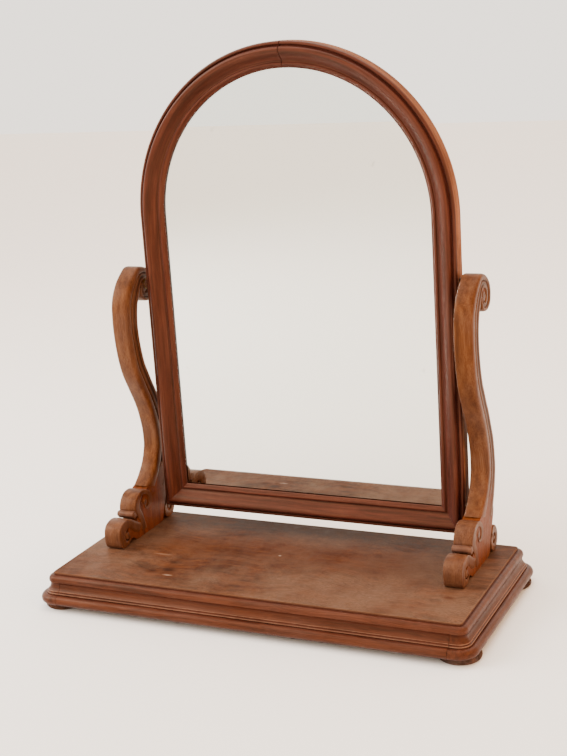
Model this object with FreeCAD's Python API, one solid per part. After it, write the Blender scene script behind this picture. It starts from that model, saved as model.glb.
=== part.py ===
import FreeCAD, Part
import math
import os

"""A swing toilet mirror: an arched mahogany frame between two scrolled supports, on a low
moulded base whose front is a concealed drawer.

Millimetres. The origin is on the floor under the middle of the base. X runs to the right,
Y to the back and Z up, so the drawer opens along -Y and the mirror tilts about X.
"""

V = FreeCAD.Vector
X_AXIS, Z_AXIS = V(1, 0, 0), V(0, 0, 1)
MIDDLE = V(0, 0, 0)
SIDES = (-1, 1)             # left and right, or front and back
CLEAR = 1.0                 # how far a cutter stands past what it cuts

# ---- base ----------------------------------------------------------------------------
PANEL_WIDTH = 604.0         # raised middle of the top board
PANEL_DEPTH = 266.5
PANEL_RISE = 3.0
PLAN_RADIUS = 6.0           # corner radius of the raised middle, seen from above
BOARD_THICKNESS = 8.5       # moulded edge of the top board
OVOLO_LEDGE = 1.2
OVOLO_RADIUS = 6.3
FRIEZE_HEIGHT = 31.5
RAIL_INSET = 14.0           # inner face of the rails, inside the edge of the raised middle
BOTTOM_THICKNESS = 6.0
FOOT_HEIGHT = 8.5
FOOT_RADIUS = 28.4
FOOT_SWELL = 0.47           # share of its height that the foot bulges by
FOOT_INSET_X = 8.0          # foot centre, inside the edge of the raised middle
FOOT_INSET_Y = 15.0

# ---- frieze moulding, from its underside up --------------------------------------------
TORUS_RADIUS = 7.2
TORUS_CENTRE = 13.5         # outside the edge of the raised middle
TORUS_END = 108.0           # angle at which the torus ends
QUIRK_DEPTH = 0.4           # the narrow groove between torus and bead
QUIRK_HEIGHT = 0.45
BEAD_SET_OUT = 0.6          # foot of the bead, outside the quirk
BEAD_FOOT = 0.5
BEAD_HEIGHT = 1.7
BEAD_SWELL = 0.5            # middle of the bead, outside its foot
FLARE_REACH = 10.1          # upright edge at the foot of the cove
FLARE_RISE = 1.4            # above the bead
FLARE_HEIGHT = 1.0
FLARE_QUIRK = 1.6           # groove between bead and flare, inside the bead
COVE_REACH = 5.9            # deepest point of the cove
COVE_SHAPE = ((0.15, 0.42), (0.35, 0.80), (0.60, 1.0), (0.78, 0.95), (0.92, 0.78), (1.0, 0.63))
MITRE_REACH = 80.0          # how far the mitre's cutting block reaches

# ---- drawer ----------------------------------------------------------------------------
DRAWER_GAP = 0.5
DRAWER_FRONT_BACK = 8.0     # back of the drawer front, inside the edge of the raised middle
DRAWER_SIDE = 8.0
DRAWER_BACK = 7.0
DRAWER_TOP_GAP = 1.2
DRAWER_BOTTOM = 3.0
DRAWER_BOTTOM_LIFT = 2.7    # from the sides' lower edge up to the groove
GROOVE_DEPTH = 3.5
TAIL_LENGTH = 9.0
TAIL_SPLAY = 1.2
FRONT_TAIL_GAP = 1.6
BACK_TAIL_GAP = 2.5
RUNNER_WIDTH = 14.0
RUNNER_HEIGHT = 2.0
SEAT_GAP = 0.3              # a piece that slides lies this far from what carries it
STOP_LENGTH = 19.0
STOP_WIDTH = 30.0
STOP_HEIGHT = 14.0

# ---- scrolled supports -----------------------------------------------------------------
SUPPORT_THICKNESS = 27.0
SUPPORT_INSET = 29.0        # inside the end of the raised middle
SUPPORT_GAP = 7.5           # between a support and the edge of the frame
SCROLL_HEIGHT = 68.3        # top of the upper front scroll, above the base
VOLUTE_RADIUS = 25.0
PIVOT_HEIGHT = 370.0        # above the base
PIVOT_DEPTH = 104.0         # behind the middle of the base
STEM_FRONT_EDGE = 3.5
CARVING_WIDTH = 2.2
CARVING_DEPTH = 1.6

# ---- mirror frame ----------------------------------------------------------------------
SIGHT_BOTTOM = 59.6         # above the base
SPRING_HEIGHT = 471.3       # centre of the arch, above the base
FRAME_WIDTH = 32.5          # from the inner bead to the outer edge
SIGHT_PLANE = 8.6           # front edge of the inner bead, ahead of the pivots
TORUS_RISE = 12.0           # frame's large torus, ahead of the inner bead
FRAME_BACK = 19.0           # back of the frame, behind the inner bead
GLASS_SETBACK = 3.0
LIP = 3.8
GLASS_THICKNESS = 4.0
GLASS_COVER = 3.0           # glass rebate, outside the front edge of the inner bead
BACKBOARD_COVER = 10.0
BACKBOARD_THICKNESS = 5.0
EDGE_GAP = 0.4
DOWEL_RADIUS = 3.0
DOWEL_LENGTH = 32.0
MITRE_DOWEL_LENGTH = 16.0
DOWEL_INSET = 21.0          # outside the inner bead
DOWEL_SETBACK = 8.0         # behind the inner bead
BACK_EDGE = 1.0             # chamfer along the frame's back edge

# ---- pivots and fixings ----------------------------------------------------------------
PIN_RADIUS = 3.0
PIN_CLEARANCE = 0.05
PIN_LENGTH = 15.0
BUSH_RADIUS = 4.5
BUSH_FLANGE_RADIUS = 7.5
BUSH_FLANGE = 1.2
BUSH_END = 1.0              # closed end of the bush
PIN_END_GAP = 1.0           # between the pin's tip and that end
BOSS_RADIUS = 6.0
BOSS_LENGTH = 4.0
PLATE_LENGTH = 38.0
PLATE_WIDTH = 13.0
PLATE_THICKNESS = 2.0
PLATE_SCREW_PLACE = 0.33    # from the pin, as a share of the plate's length
WASHER_RADIUS = 6.5
SCREW_RADIUS = 2.0
SCREW_HEAD_RADIUS = 4.6
SCREW_HEAD = 2.4
SCREW_TIP = 0.3             # radius of the tip, as a share of the shank's
SMALL_SCREW_RADIUS = 1.3
SMALL_SCREW_HEAD_RADIUS = 2.8
SMALL_SCREW_HEAD = 1.2
SCREW_FIT = 0.05
FOOT_SCREW_LENGTH = 24.0
SUPPORT_SCREW_LENGTH = 32.0
SUPPORT_SCREW_DEPTHS = (34.0, 66.0)
PLATE_SCREW_LENGTH = 12.0
BACKBOARD_SCREW_LENGTH = 10.5
STILE_SCREWS = (0.1, 0.5, 0.93)     # shares of the way from the foot to the arch
ARCH_SCREW_ANGLE = 40.0             # from the crown
RAIL_SCREW_PLACE = 0.5              # share of half the width

# ---- places worked out from the sizes above ---------------------------------------------
frieze_bottom = FOOT_HEIGHT
frieze_top = frieze_bottom + FRIEZE_HEIGHT
ledge_top = frieze_top + BOARD_THICKNESS
base_top = ledge_top + PANEL_RISE
half_width = PANEL_WIDTH / 2
half_depth = PANEL_DEPTH / 2
ovolo_reach = OVOLO_LEDGE + OVOLO_RADIUS
rail_inner_x = half_width - RAIL_INSET
rail_inner_y = half_depth - RAIL_INSET
bottom_top = frieze_bottom + BOTTOM_THICKNESS
drawer_half_width = rail_inner_x - DRAWER_GAP
drawer_front_back = -(half_depth - DRAWER_FRONT_BACK)
drawer_low = bottom_top + RUNNER_HEIGHT + SEAT_GAP
drawer_high = frieze_top - DRAWER_TOP_GAP
drawer_floor = drawer_low + DRAWER_BOTTOM_LIFT
drawer_floor_top = drawer_floor + DRAWER_BOTTOM
drawer_end = rail_inner_y - STOP_LENGTH - SEAT_GAP
pivot_z = base_top + PIVOT_HEIGHT
sight_y = PIVOT_DEPTH - SIGHT_PLANE
frame_back = sight_y + FRAME_BACK
sight_z = base_top + SIGHT_BOTTOM
spring_z = base_top + SPRING_HEIGHT
support_inner_x = half_width - SUPPORT_INSET - SUPPORT_THICKNESS
support_middle_x = support_inner_x + SUPPORT_THICKNESS / 2
frame_half_width = support_inner_x - SUPPORT_GAP
sight_half_width = frame_half_width - FRAME_WIDTH   # to the inner bead, also the arch's radius
glass_front = sight_y + GLASS_SETBACK
glass_back = glass_front + GLASS_THICKNESS
ledge_y = glass_back


# ---- drawing helpers --------------------------------------------------------------------
def outline(place, start, *steps):
    """Return a closed face. Each step is a point for a line, (middle, end) for an arc,
    or a list of points for a smooth curve; place turns (u, v) into a 3D point."""
    edges = []
    here = place(*start)
    for step in steps:
        if isinstance(step, list):
            points = [here] + [place(*p) for p in step]
            curve = Part.BSplineCurve()
            curve.interpolate(points)
            edges.append(curve.toShape())
            here = points[-1]
        elif isinstance(step[0], tuple):
            middle, end = place(*step[0]), place(*step[1])
            edges.append(Part.Arc(here, middle, end).toShape())
            here = end
        else:
            end = place(*step)
            edges.append(Part.LineSegment(here, end).toShape())
            here = end
    first = place(*start)
    if here.distanceToPoint(first) > 1e-6:
        edges.append(Part.LineSegment(here, first).toShape())
    return Part.Face(Part.Wire(edges))


def box(x0, x1, y0, y1, z0, z1):
    """Return the box between two corners."""
    return Part.makeBox(x1 - x0, y1 - y0, z1 - z0, V(x0, y0, z0))


def rod(radius, start, end):
    """Return a cylinder from one point to another."""
    return Part.makeCylinder(radius, start.distanceToPoint(end), start, end - start)


def fused(pieces):
    """Return several touching solids as one clean solid."""
    whole = pieces[0].fuse(pieces[1:]) if len(pieces) > 1 else pieces[0]
    return whole.removeSplitter()


def flipped(shape):
    """Return the mirror image across the middle, left for right."""
    return shape.mirror(MIDDLE, X_AXIS)


def both_sides(build):
    """Yield (name, shape) for the right-hand shape and its mirror image."""
    right = build()
    yield "right", right
    yield "left", flipped(right)


def screw(head_centre, direction, length, radius, head_radius, head, grow=0.0):
    """Return a countersunk screw whose flat head faces back along its direction."""
    way = V(direction).normalize()
    neck, tip = head_centre + way * head, head_centre + way * (length - radius)
    cone = Part.makeCone(head_radius + grow, radius + grow, head, head_centre, way)
    point = Part.makeCone(radius + grow, radius * SCREW_TIP + grow, radius + grow, tip, way)
    return fused([cone, rod(radius + grow, neck, tip), point])


def screw_hole(head_centre, direction, length, radius, head_radius, head):
    """Return the cutter for a screw's hole, a little wider than the screw and open at its head."""
    way = V(direction).normalize()
    mouth = rod(head_radius + SCREW_FIT, head_centre - way * SCREW_FIT, head_centre)
    return fused([mouth, screw(head_centre, way, length, radius, head_radius, head, SCREW_FIT)])


def wood_screw(head_centre, direction, length, maker=screw):
    """Return a full-size wood screw, or its hole."""
    return maker(head_centre, direction, length, SCREW_RADIUS, SCREW_HEAD_RADIUS, SCREW_HEAD)


def small_screw(head_centre, direction, length, maker=screw):
    """Return a small brass screw, or its hole."""
    return maker(head_centre, direction, length, SMALL_SCREW_RADIUS, SMALL_SCREW_HEAD_RADIUS,
                 SMALL_SCREW_HEAD)


# ---- base -------------------------------------------------------------------------------
def rounded_slab(half_x, half_y, radius, z0, z1):
    """Return a slab with rounded vertical corners."""
    slab = box(-half_x, half_x, -half_y, half_y, z0, z1)
    uprights = [e for e in slab.Edges if abs(e.BoundBox.ZLength - (z1 - z0)) < 1e-6]
    return slab.makeFillet(radius, uprights)


def top_board():
    """Return the top board: a raised middle, a ledge and an ovolo edge."""
    moulded = rounded_slab(half_width + ovolo_reach, half_depth + ovolo_reach,
                           PLAN_RADIUS + ovolo_reach, frieze_top, ledge_top)
    rim = [e for e in moulded.Edges if e.BoundBox.ZMin > ledge_top - 1e-6]
    moulded = moulded.makeFillet(OVOLO_RADIUS, rim)
    middle = rounded_slab(half_width, half_depth, PLAN_RADIUS, frieze_top, base_top)
    return fused([moulded, middle])


def frieze_section(place, inner):
    """Return the section of the frieze: torus, quirk, thin bead, and a cove that flares out
    above the bead and runs on into the ovolo of the top board.

    u is measured outwards from the edge of the raised middle, v up from the floor. The cove's
    shape is given as shares of its height and of its depth behind the flare.
    """
    low = frieze_bottom
    turn = math.radians(TORUS_END)
    torus_end = (TORUS_CENTRE + TORUS_RADIUS * math.cos(turn), low + TORUS_RADIUS * (1 + math.sin(turn)))
    quirk = (torus_end[0] - QUIRK_DEPTH, torus_end[1] + QUIRK_HEIGHT)
    bead = (quirk[0] + BEAD_SET_OUT, quirk[1] + BEAD_FOOT)
    bead_top = (bead[0] - BEAD_SWELL / 2, bead[1] + BEAD_HEIGHT)
    flare = (FLARE_REACH, bead_top[1] + FLARE_RISE)
    cove_foot = flare[1] + FLARE_HEIGHT
    cove = [(FLARE_REACH - deep * (FLARE_REACH - COVE_REACH), cove_foot + up * (frieze_top - cove_foot))
            for up, deep in COVE_SHAPE]
    return outline(place, (inner, low), (TORUS_CENTRE, low),
                   ((TORUS_CENTRE + TORUS_RADIUS, low + TORUS_RADIUS), torus_end),
                   quirk, bead, ((bead[0] + BEAD_SWELL, bead[1] + BEAD_HEIGHT / 2), bead_top),
                   (bead_top[0] - FLARE_QUIRK, bead_top[1] + FLARE_RISE / 2),
                   flare, (FLARE_REACH, cove_foot), cove, (inner, frieze_top))


def along_front(inner, x0, x1):
    """Return a stretch of frieze that runs along the front."""
    section = frieze_section(lambda u, v: V(x0, -half_depth - u, v), inner)
    return section.extrude(V(x1 - x0, 0, 0))


def along_back(inner, x0, x1):
    """Return a stretch of frieze that runs along the back."""
    section = frieze_section(lambda u, v: V(x0, half_depth + u, v), inner)
    return section.extrude(V(x1 - x0, 0, 0))


def frieze_corner(sign_y):
    """Return the rounded corner of the frieze at the right."""
    cx, cy = half_width - PLAN_RADIUS, sign_y * (half_depth - PLAN_RADIUS)
    section = frieze_section(lambda u, v: V(half_width + u, cy, v), -PLAN_RADIUS)
    return section.revolve(V(cx, cy, 0), Z_AXIS, 90 * sign_y)


def mitre_wedge():
    """Return the block behind the right-hand rear mitre, on the back rail's side."""
    x, y = rail_inner_x, rail_inner_y
    face = outline(lambda u, v: V(u, v, frieze_bottom - CLEAR), (x - MITRE_REACH, y - MITRE_REACH),
                   (x + MITRE_REACH, y + MITRE_REACH), (x - MITRE_REACH, y + MITRE_REACH))
    return face.extrude(V(0, 0, FRIEZE_HEIGHT + 2 * CLEAR))


def side_rail():
    """Return the right side rail, with the return that meets the drawer front."""
    run = half_depth - PLAN_RADIUS
    section = frieze_section(lambda u, v: V(half_width + u, -run, v), -RAIL_INSET)
    pieces = [section.extrude(V(0, 2 * run, 0)), frieze_corner(-1), frieze_corner(1),
              along_front(-RAIL_INSET, rail_inner_x, half_width - PLAN_RADIUS)]
    rail = fused(pieces).cut(mitre_wedge())
    return rail.cut([foot_screw(sign_y, screw_hole) for sign_y in SIDES])


def back_rail():
    """Return the back rail, mitred into the side rails."""
    end = half_width - PLAN_RADIUS
    right = frieze_corner(1)
    left = flipped(right)
    whole = fused([along_back(-RAIL_INSET, -end, end), right, left])
    keep = mitre_wedge()
    middle = box(-rail_inner_x, rail_inner_x, rail_inner_y, half_depth + MITRE_REACH,
                 frieze_bottom - CLEAR, frieze_top + CLEAR)
    keep = fused([keep, flipped(keep), middle])
    return whole.common(keep).removeSplitter()


def bottom_board():
    """Return the board that closes the base under the drawer."""
    return box(-rail_inner_x, rail_inner_x, drawer_front_back + DRAWER_GAP, rail_inner_y,
               frieze_bottom, bottom_top)


def runner():
    """Return the right-hand strip that carries the drawer."""
    return box(rail_inner_x - RUNNER_WIDTH, rail_inner_x, drawer_front_back + DRAWER_GAP, rail_inner_y,
               bottom_top, bottom_top + RUNNER_HEIGHT)


def drawer_stops():
    """Return the two blocks that stop the drawer at the back."""
    centre = rail_inner_x / 2
    blocks = [box(side * centre - STOP_WIDTH / 2, side * centre + STOP_WIDTH / 2,
                  rail_inner_y - STOP_LENGTH, rail_inner_y, bottom_top, bottom_top + STOP_HEIGHT)
              for side in SIDES]
    return Part.makeCompound(blocks)


def foot_place(sign_y):
    """Return the point on the floor under the right-hand foot."""
    return V(half_width - FOOT_INSET_X, sign_y * (half_depth - FOOT_INSET_Y), 0)


def foot_screw(sign_y, maker=screw):
    """Return the screw that holds a right-hand foot, or its hole."""
    head = foot_place(sign_y) + V(0, 0, FOOT_HEIGHT / 4)
    return wood_screw(head, Z_AXIS, FOOT_SCREW_LENGTH, maker)


def foot(sign_y):
    """Return a flattened bun foot, turned, with a sunk screw hole."""
    swell = FOOT_HEIGHT * FOOT_SWELL
    face = outline(lambda u, v: V(u, 0, v), (0, 0), (FOOT_RADIUS - swell, 0),
                   ((FOOT_RADIUS, FOOT_HEIGHT / 2), (FOOT_RADIUS - swell, FOOT_HEIGHT)), (0, FOOT_HEIGHT))
    bun = face.revolve(MIDDLE, Z_AXIS, 360)
    place = foot_place(sign_y)
    bun.translate(place)
    sink = rod(SCREW_HEAD_RADIUS + SCREW_FIT, place - V(0, 0, CLEAR), place + V(0, 0, FOOT_HEIGHT / 4))
    return bun.cut(fused([sink, foot_screw(sign_y, screw_hole)]))


# ---- drawer -----------------------------------------------------------------------------
def tail(y_shoulder, length, z_low, z_high, grow=0.0):
    """Return one dovetail of the right-hand drawer side, which widens away from its shoulder."""
    points = [(y_shoulder, z_low + TAIL_SPLAY), (y_shoulder + length, z_low),
              (y_shoulder + length, z_high), (y_shoulder, z_high - TAIL_SPLAY)]
    x = drawer_half_width - DRAWER_SIDE
    face = outline(lambda u, v: V(x, u, v), points[0], *points[1:])
    return face.extrude(V(DRAWER_SIDE + grow, 0, 0))


def front_tails(grow=0.0):
    """Return the tails that lap into the drawer front."""
    middle = (drawer_low + drawer_high) / 2
    return [tail(drawer_front_back, -TAIL_LENGTH, low + FRONT_TAIL_GAP, high - FRONT_TAIL_GAP, grow)
            for low, high in ((drawer_low, middle), (middle, drawer_high))]


def back_tail(grow=0.0):
    """Return the tail that goes through the end of the drawer back."""
    return tail(drawer_end - DRAWER_BACK, DRAWER_BACK, drawer_floor_top + BACK_TAIL_GAP,
                drawer_high - BACK_TAIL_GAP, grow)


def drawer_front():
    """Return the drawer front, which carries the frieze across the base."""
    front = along_front(-DRAWER_FRONT_BACK, -drawer_half_width, drawer_half_width)
    front = front.common(box(-PANEL_WIDTH, PANEL_WIDTH, -PANEL_DEPTH, 0, frieze_bottom + DRAWER_GAP,
                             frieze_top - DRAWER_GAP))
    groove = box(-drawer_half_width + DRAWER_SIDE, drawer_half_width - DRAWER_SIDE,
                 drawer_front_back - GROOVE_DEPTH, drawer_front_back + CLEAR,
                 drawer_floor, drawer_floor_top)
    sockets = front_tails(CLEAR)
    sockets += [flipped(s) for s in sockets]
    return front.cut([groove] + sockets)


def drawer_side():
    """Return the right-hand drawer side, dovetailed at both ends and grooved for the bottom."""
    x1 = drawer_half_width
    x0 = x1 - DRAWER_SIDE
    board = box(x0, x1, drawer_front_back, drawer_end - DRAWER_BACK, drawer_low, drawer_high)
    groove = box(x0 - CLEAR, x0 + GROOVE_DEPTH, drawer_front_back, drawer_end,
                 drawer_floor, drawer_floor_top)
    heel = box(x0, x1, drawer_end - DRAWER_BACK, drawer_end, drawer_low, drawer_floor_top)
    whole = fused([board, heel, back_tail()] + front_tails())
    return whole.cut(groove)


def drawer_back():
    """Return the drawer back, which stands on the bottom between the sides' tails."""
    back = box(-drawer_half_width, drawer_half_width, drawer_end - DRAWER_BACK, drawer_end,
               drawer_floor_top, drawer_high)
    socket = back_tail(CLEAR)
    return back.cut([socket, flipped(socket)])


def drawer_bottom():
    """Return the thin drawer bottom, held in the grooves."""
    reach = drawer_half_width - DRAWER_SIDE + GROOVE_DEPTH - EDGE_GAP
    inner = drawer_half_width - DRAWER_SIDE
    wide = box(-reach, reach, drawer_front_back, drawer_end, drawer_floor, drawer_floor_top)
    tongue = box(-inner, inner, drawer_front_back - GROOVE_DEPTH + EDGE_GAP, drawer_front_back,
                 drawer_floor, drawer_floor_top)
    return fused([wide, tongue])


# ---- supports ---------------------------------------------------------------------------
def on_support(x):
    """Return the placing function for a support's side view: u backwards, v above the base."""
    return lambda u, v: V(x, u, base_top + v)


def low(share_y, share_z):
    """Return a point of the lower scrolls: a share of the pivots' depth and of the scroll's height."""
    return share_y * PIVOT_DEPTH, share_z * SCROLL_HEIGHT


def stem(points):
    """Return stem points from shares of the pivots' depth and height."""
    return [(y * PIVOT_DEPTH, z * PIVOT_HEIGHT) for y, z in points]


def near_pivot(points):
    """Return points about the pivot from multiples of the volute's radius."""
    return [(PIVOT_DEPTH + y * VOLUTE_RADIUS, PIVOT_HEIGHT + z * VOLUTE_RADIUS) for y, z in points]


def support_outline(x):
    """Return the side view of a support: two front scrolls, an S-shaped stem that ends in a
    volute round the pivot, and a small scroll behind."""
    stem_front = stem([(0.615, 0.208), (0.740, 0.236), (0.846, 0.272), (0.904, 0.318), (0.913, 0.362),
                       (0.880, 0.425), (0.803, 0.500), (0.639, 0.589), (0.486, 0.672), (0.404, 0.762),
                       (0.380, 0.862), (0.409, 0.945)])
    crest = near_pivot([(-2.04, 0.06), (-1.44, 0.70), (-0.88, 1.06), (-0.40, 1.20)])
    volute = near_pivot([(0.12, 1.10), (0.64, 0.74), (0.98, 0.16), (0.98, -0.44), (0.70, -0.88),
                         (0.20, -1.06), (-0.36, -0.98), (-0.66, -0.76)])
    notch = near_pivot([(-0.82, -0.32), (-0.98, -0.84)])
    stem_back = stem([(0.710, 0.908), (0.688, 0.846), (0.695, 0.800), (0.743, 0.728), (0.858, 0.646),
                      (1.021, 0.557), (1.159, 0.468), (1.243, 0.372), (1.260, 0.318), (1.231, 0.246),
                      (1.159, 0.173), (1.077, 0.116)])
    return outline(on_support(x), low(-0.250, 0), (low(-0.341, 0.286), low(-0.135, 0.580)),
                   low(0.034, 0.580), low(0.040, 0.644), low(0.113, 0.652),
                   (low(0.188, 0.886), low(0.341, 1.0)), (low(0.418, 0.999), low(0.486, 0.969)),
                   stem_front + crest, volute, notch[0], notch[1], stem_back,
                   (low(1.236, 0.315), low(1.115, 0)), low(1.0, 0), (low(0.971, 0.117), low(0.975, 0.256)),
                   low(0.950, 0.272), (low(0.889, 0.110), low(0.740, 0)), low(0.212, 0),
                   (low(0.019, 0.108), low(-0.135, 0)))


def carved_line(x, depth, points, width_end=1.0):
    """Return the cutter of a carved line through the points, sunk from the plane x along X."""
    left, right = [], []
    last = len(points) - 1
    for i, (y, z) in enumerate(points):
        before, after = points[max(i - 1, 0)], points[min(i + 1, last)]
        run = math.hypot(after[0] - before[0], after[1] - before[1])
        nx, nz = -(after[1] - before[1]) / run, (after[0] - before[0]) / run
        half = CARVING_WIDTH / 2 * (1 + (width_end - 1) * i / last)
        left.append((y + nx * half, z + nz * half))
        right.append((y - nx * half, z - nz * half))
    right.reverse()
    face = outline(on_support(x), left[0], left[1:], right[0], right[1:])
    return face.extrude(V(depth, 0, 0))


def spiral(centre, start_radius, end_radius, start_angle, turns):
    """Return the points of a flat spiral that closes in on its centre."""
    steps = 12
    points = []
    for i in range(steps + 1):
        share = i / steps
        angle = math.radians(start_angle + 360 * turns * share)
        radius = start_radius + (end_radius - start_radius) * share
        points.append((centre[0] + radius * math.cos(angle), centre[1] + radius * math.sin(angle)))
    return points


def carved_lines():
    """Return the carved lines of a support's faces: the groove along the stem, the spirals of the
    four scrolls and the crease between the two front scrolls."""
    groove = [low(0.692, 0.952), low(0.827, 1.083), low(0.952, 1.230), low(1.029, 1.391)]
    groove += stem([(1.058, 0.330), (1.058, 0.372), (1.014, 0.435), (0.942, 0.495), (0.788, 0.585),
                    (0.635, 0.672), (0.558, 0.762), (0.537, 0.862), (0.563, 0.950)])
    groove += near_pivot([(-1.60, 0.04), (-1.16, 0.48)])
    crease = [low(0.115, 0.586), low(0.135, 0.498), low(0.183, 0.363), low(0.269, 0.205)]
    unit = SCROLL_HEIGHT
    return [groove, crease,
            spiral(near_pivot([(-0.12, -0.16)])[0], 0.68 * VOLUTE_RADIUS, 0.2 * VOLUTE_RADIUS, 190, -1.1),
            spiral(low(0.365, 0.688), 0.212 * unit, 0.059 * unit, 235, -1.2),
            spiral(low(-0.125, 0.300), 0.183 * unit, 0.059 * unit, -45, 1.2),
            spiral(low(1.077, 0.278), 0.146 * unit, 0.051 * unit, 235, -1.1)]


def support():
    """Return the right-hand support with a rounded stem front and carved scrolls."""
    body = support_outline(support_inner_x).extrude(V(SUPPORT_THICKNESS, 0, 0))
    front = [e for e in body.Edges
             if e.BoundBox.ZMax > pivot_z + VOLUTE_RADIUS and e.BoundBox.ZLength > 0.8 * PIVOT_HEIGHT]
    body = body.makeFillet(STEM_FRONT_EDGE, front)
    cuts = []
    for line in carved_lines():
        cuts.append(carved_line(support_inner_x + SUPPORT_THICKNESS, -CARVING_DEPTH, line, 0.5))
        cuts.append(carved_line(support_inner_x, CARVING_DEPTH, line, 0.5))
    cuts += [support_screw(y, screw_hole) for y in SUPPORT_SCREW_DEPTHS]
    cuts.append(bush(PIN_RADIUS, SCREW_FIT))
    for cut in cuts:
        body = body.cut(cut)
    return body


def support_screw(y, maker=screw):
    """Return a screw that holds the right-hand support from under the top board, or its hole."""
    return wood_screw(V(support_middle_x, y, frieze_top), Z_AXIS, SUPPORT_SCREW_LENGTH, maker)


# ---- pivots -----------------------------------------------------------------------------
def on_pivot(x):
    """Return the point at x on the line that the mirror turns about."""
    return V(x, PIVOT_DEPTH, pivot_z)


def bush(bore, grow=0.0):
    """Return the flanged brass bush let into the right-hand support, with its bore's radius."""
    x = support_inner_x
    depth = PIN_LENGTH + BUSH_END
    outer = fused([rod(BUSH_FLANGE_RADIUS + grow, on_pivot(x), on_pivot(x + BUSH_FLANGE + grow)),
                   rod(BUSH_RADIUS + grow, on_pivot(x), on_pivot(x + depth + grow))])
    if grow:
        return outer
    return outer.cut(rod(bore, on_pivot(x - CLEAR), on_pivot(x + PIN_LENGTH)))


def plate_recess(grow=0.0):
    """Return the pivot plate's block, let flush into the right-hand edge of the frame."""
    x1 = frame_half_width
    return box(x1 - PLATE_THICKNESS - grow, x1 + grow, PIVOT_DEPTH - PLATE_WIDTH / 2 - grow,
               PIVOT_DEPTH + PLATE_WIDTH / 2 + grow, pivot_z - PLATE_LENGTH / 2 - grow,
               pivot_z + PLATE_LENGTH / 2 + grow)


def plate_screw(way, maker=screw):
    """Return a screw of the pivot plate, above or below the pin, or its hole."""
    head = on_pivot(frame_half_width) + V(0, 0, way * PLATE_LENGTH * PLATE_SCREW_PLACE)
    return small_screw(head, V(-1, 0, 0), PLATE_SCREW_LENGTH, maker)


def pivot_stud():
    """Return the brass plate, boss and pin that the mirror turns on."""
    x = frame_half_width
    boss = rod(BOSS_RADIUS, on_pivot(x - PLATE_THICKNESS / 4), on_pivot(x + BOSS_LENGTH))
    stud = fused([plate_recess(), boss,
                  rod(PIN_RADIUS, on_pivot(x), on_pivot(x + SUPPORT_GAP + PIN_LENGTH - PIN_END_GAP))])
    return stud.cut([plate_screw(way, screw_hole) for way in SIDES])


def friction_washer():
    """Return the leather washer squeezed between the boss and the bush."""
    x0 = frame_half_width + BOSS_LENGTH
    x1 = frame_half_width + SUPPORT_GAP - PIN_CLEARANCE
    return rod(WASHER_RADIUS, on_pivot(x0), on_pivot(x1)).cut(
        rod(PIN_RADIUS + PIN_CLEARANCE, on_pivot(x0 - CLEAR), on_pivot(x1 + CLEAR)))


# ---- mirror -----------------------------------------------------------------------------
def frame_section(place):
    """Return the frame's section: sloped lip, narrow bead, one broad cushion that falls steeply
    outwards, groove and outer band, with rebates for the glass and the backboard behind.
    u runs outwards, v backwards."""
    def at(share_out, share_front):
        return share_out * FRAME_WIDTH, sight_y - share_front * TORUS_RISE

    out = FRAME_WIDTH
    return outline(place, (-LIP, glass_front), (0, sight_y), (at(0.05, 0.12), at(0.12, 0.06)),
                   at(0.14, -0.02), at(0.19, 0.02),
                   [at(0.28, 0.22), at(0.40, 0.55), at(0.53, 0.86), at(0.66, 1.0), at(0.75, 0.86),
                    at(0.785, 0.42)],
                   at(0.81, 0.30), at(0.84, 0.36), (at(0.91, 0.52), at(0.98, 0.36)), at(1.0, 0.22),
                   (out, frame_back - BACK_EDGE), (out - BACK_EDGE, frame_back),
                   (BACKBOARD_COVER, frame_back), (BACKBOARD_COVER, ledge_y),
                   (GLASS_COVER, ledge_y), (GLASS_COVER, glass_front))


def frame_dowel(point, direction, length, grow=0.0):
    """Return a dowel centred on a joint of the frame."""
    way = V(direction).normalize() * (length / 2 + grow)
    return rod(DOWEL_RADIUS + grow, point - way, point + way)


def frame_dowels(grow=0.0):
    """Return the dowels of every joint: the crown, both springings and both mitres."""
    middle = sight_half_width + DOWEL_INSET
    y = sight_y + DOWEL_SETBACK
    dowels = [frame_dowel(V(0, y, spring_z + middle), X_AXIS, DOWEL_LENGTH, grow)]
    for side in SIDES:
        dowels.append(frame_dowel(V(side * middle, y, spring_z), Z_AXIS, DOWEL_LENGTH, grow))
        dowels.append(frame_dowel(V(side * middle, y, sight_z - DOWEL_INSET), V(side, 0, 1),
                                  MITRE_DOWEL_LENGTH, grow))
    return dowels


def backboard_screw_places():
    """Return the backboard's screw points, spaced round the ledge behind the glass."""
    inset = sight_half_width + (GLASS_COVER + BACKBOARD_COVER) / 2
    low = sight_z - (GLASS_COVER + BACKBOARD_COVER) / 2
    y = ledge_y + BACKBOARD_THICKNESS
    turn = math.radians(ARCH_SCREW_ANGLE)
    places = []
    for side in SIDES:
        places += [V(side * inset, y, sight_z + share * (spring_z - sight_z)) for share in STILE_SCREWS]
        places.append(V(side * inset * math.sin(turn), y, spring_z + inset * math.cos(turn)))
        places.append(V(side * inset * RAIL_SCREW_PLACE, y, low))
    return places


def backboard_screws(maker=screw):
    """Return the backboard's screws, or their holes."""
    return [small_screw(p, V(0, -1, 0), BACKBOARD_SCREW_LENGTH, maker) for p in backboard_screw_places()]


def mitre_block(keep_rail):
    """Return the block on one side of the right-hand mitre of the frame."""
    reach = FRAME_WIDTH * 2
    corner = (sight_half_width - LIP * 3, sight_z + LIP * 3)
    far = (corner[0] + reach, corner[1] - reach)
    third = (corner[0], far[1]) if keep_rail else (far[0], corner[1])
    face = outline(lambda u, v: V(u, sight_y - reach, v), corner, far, third)
    return face.extrude(V(0, 2 * reach, 0))


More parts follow.
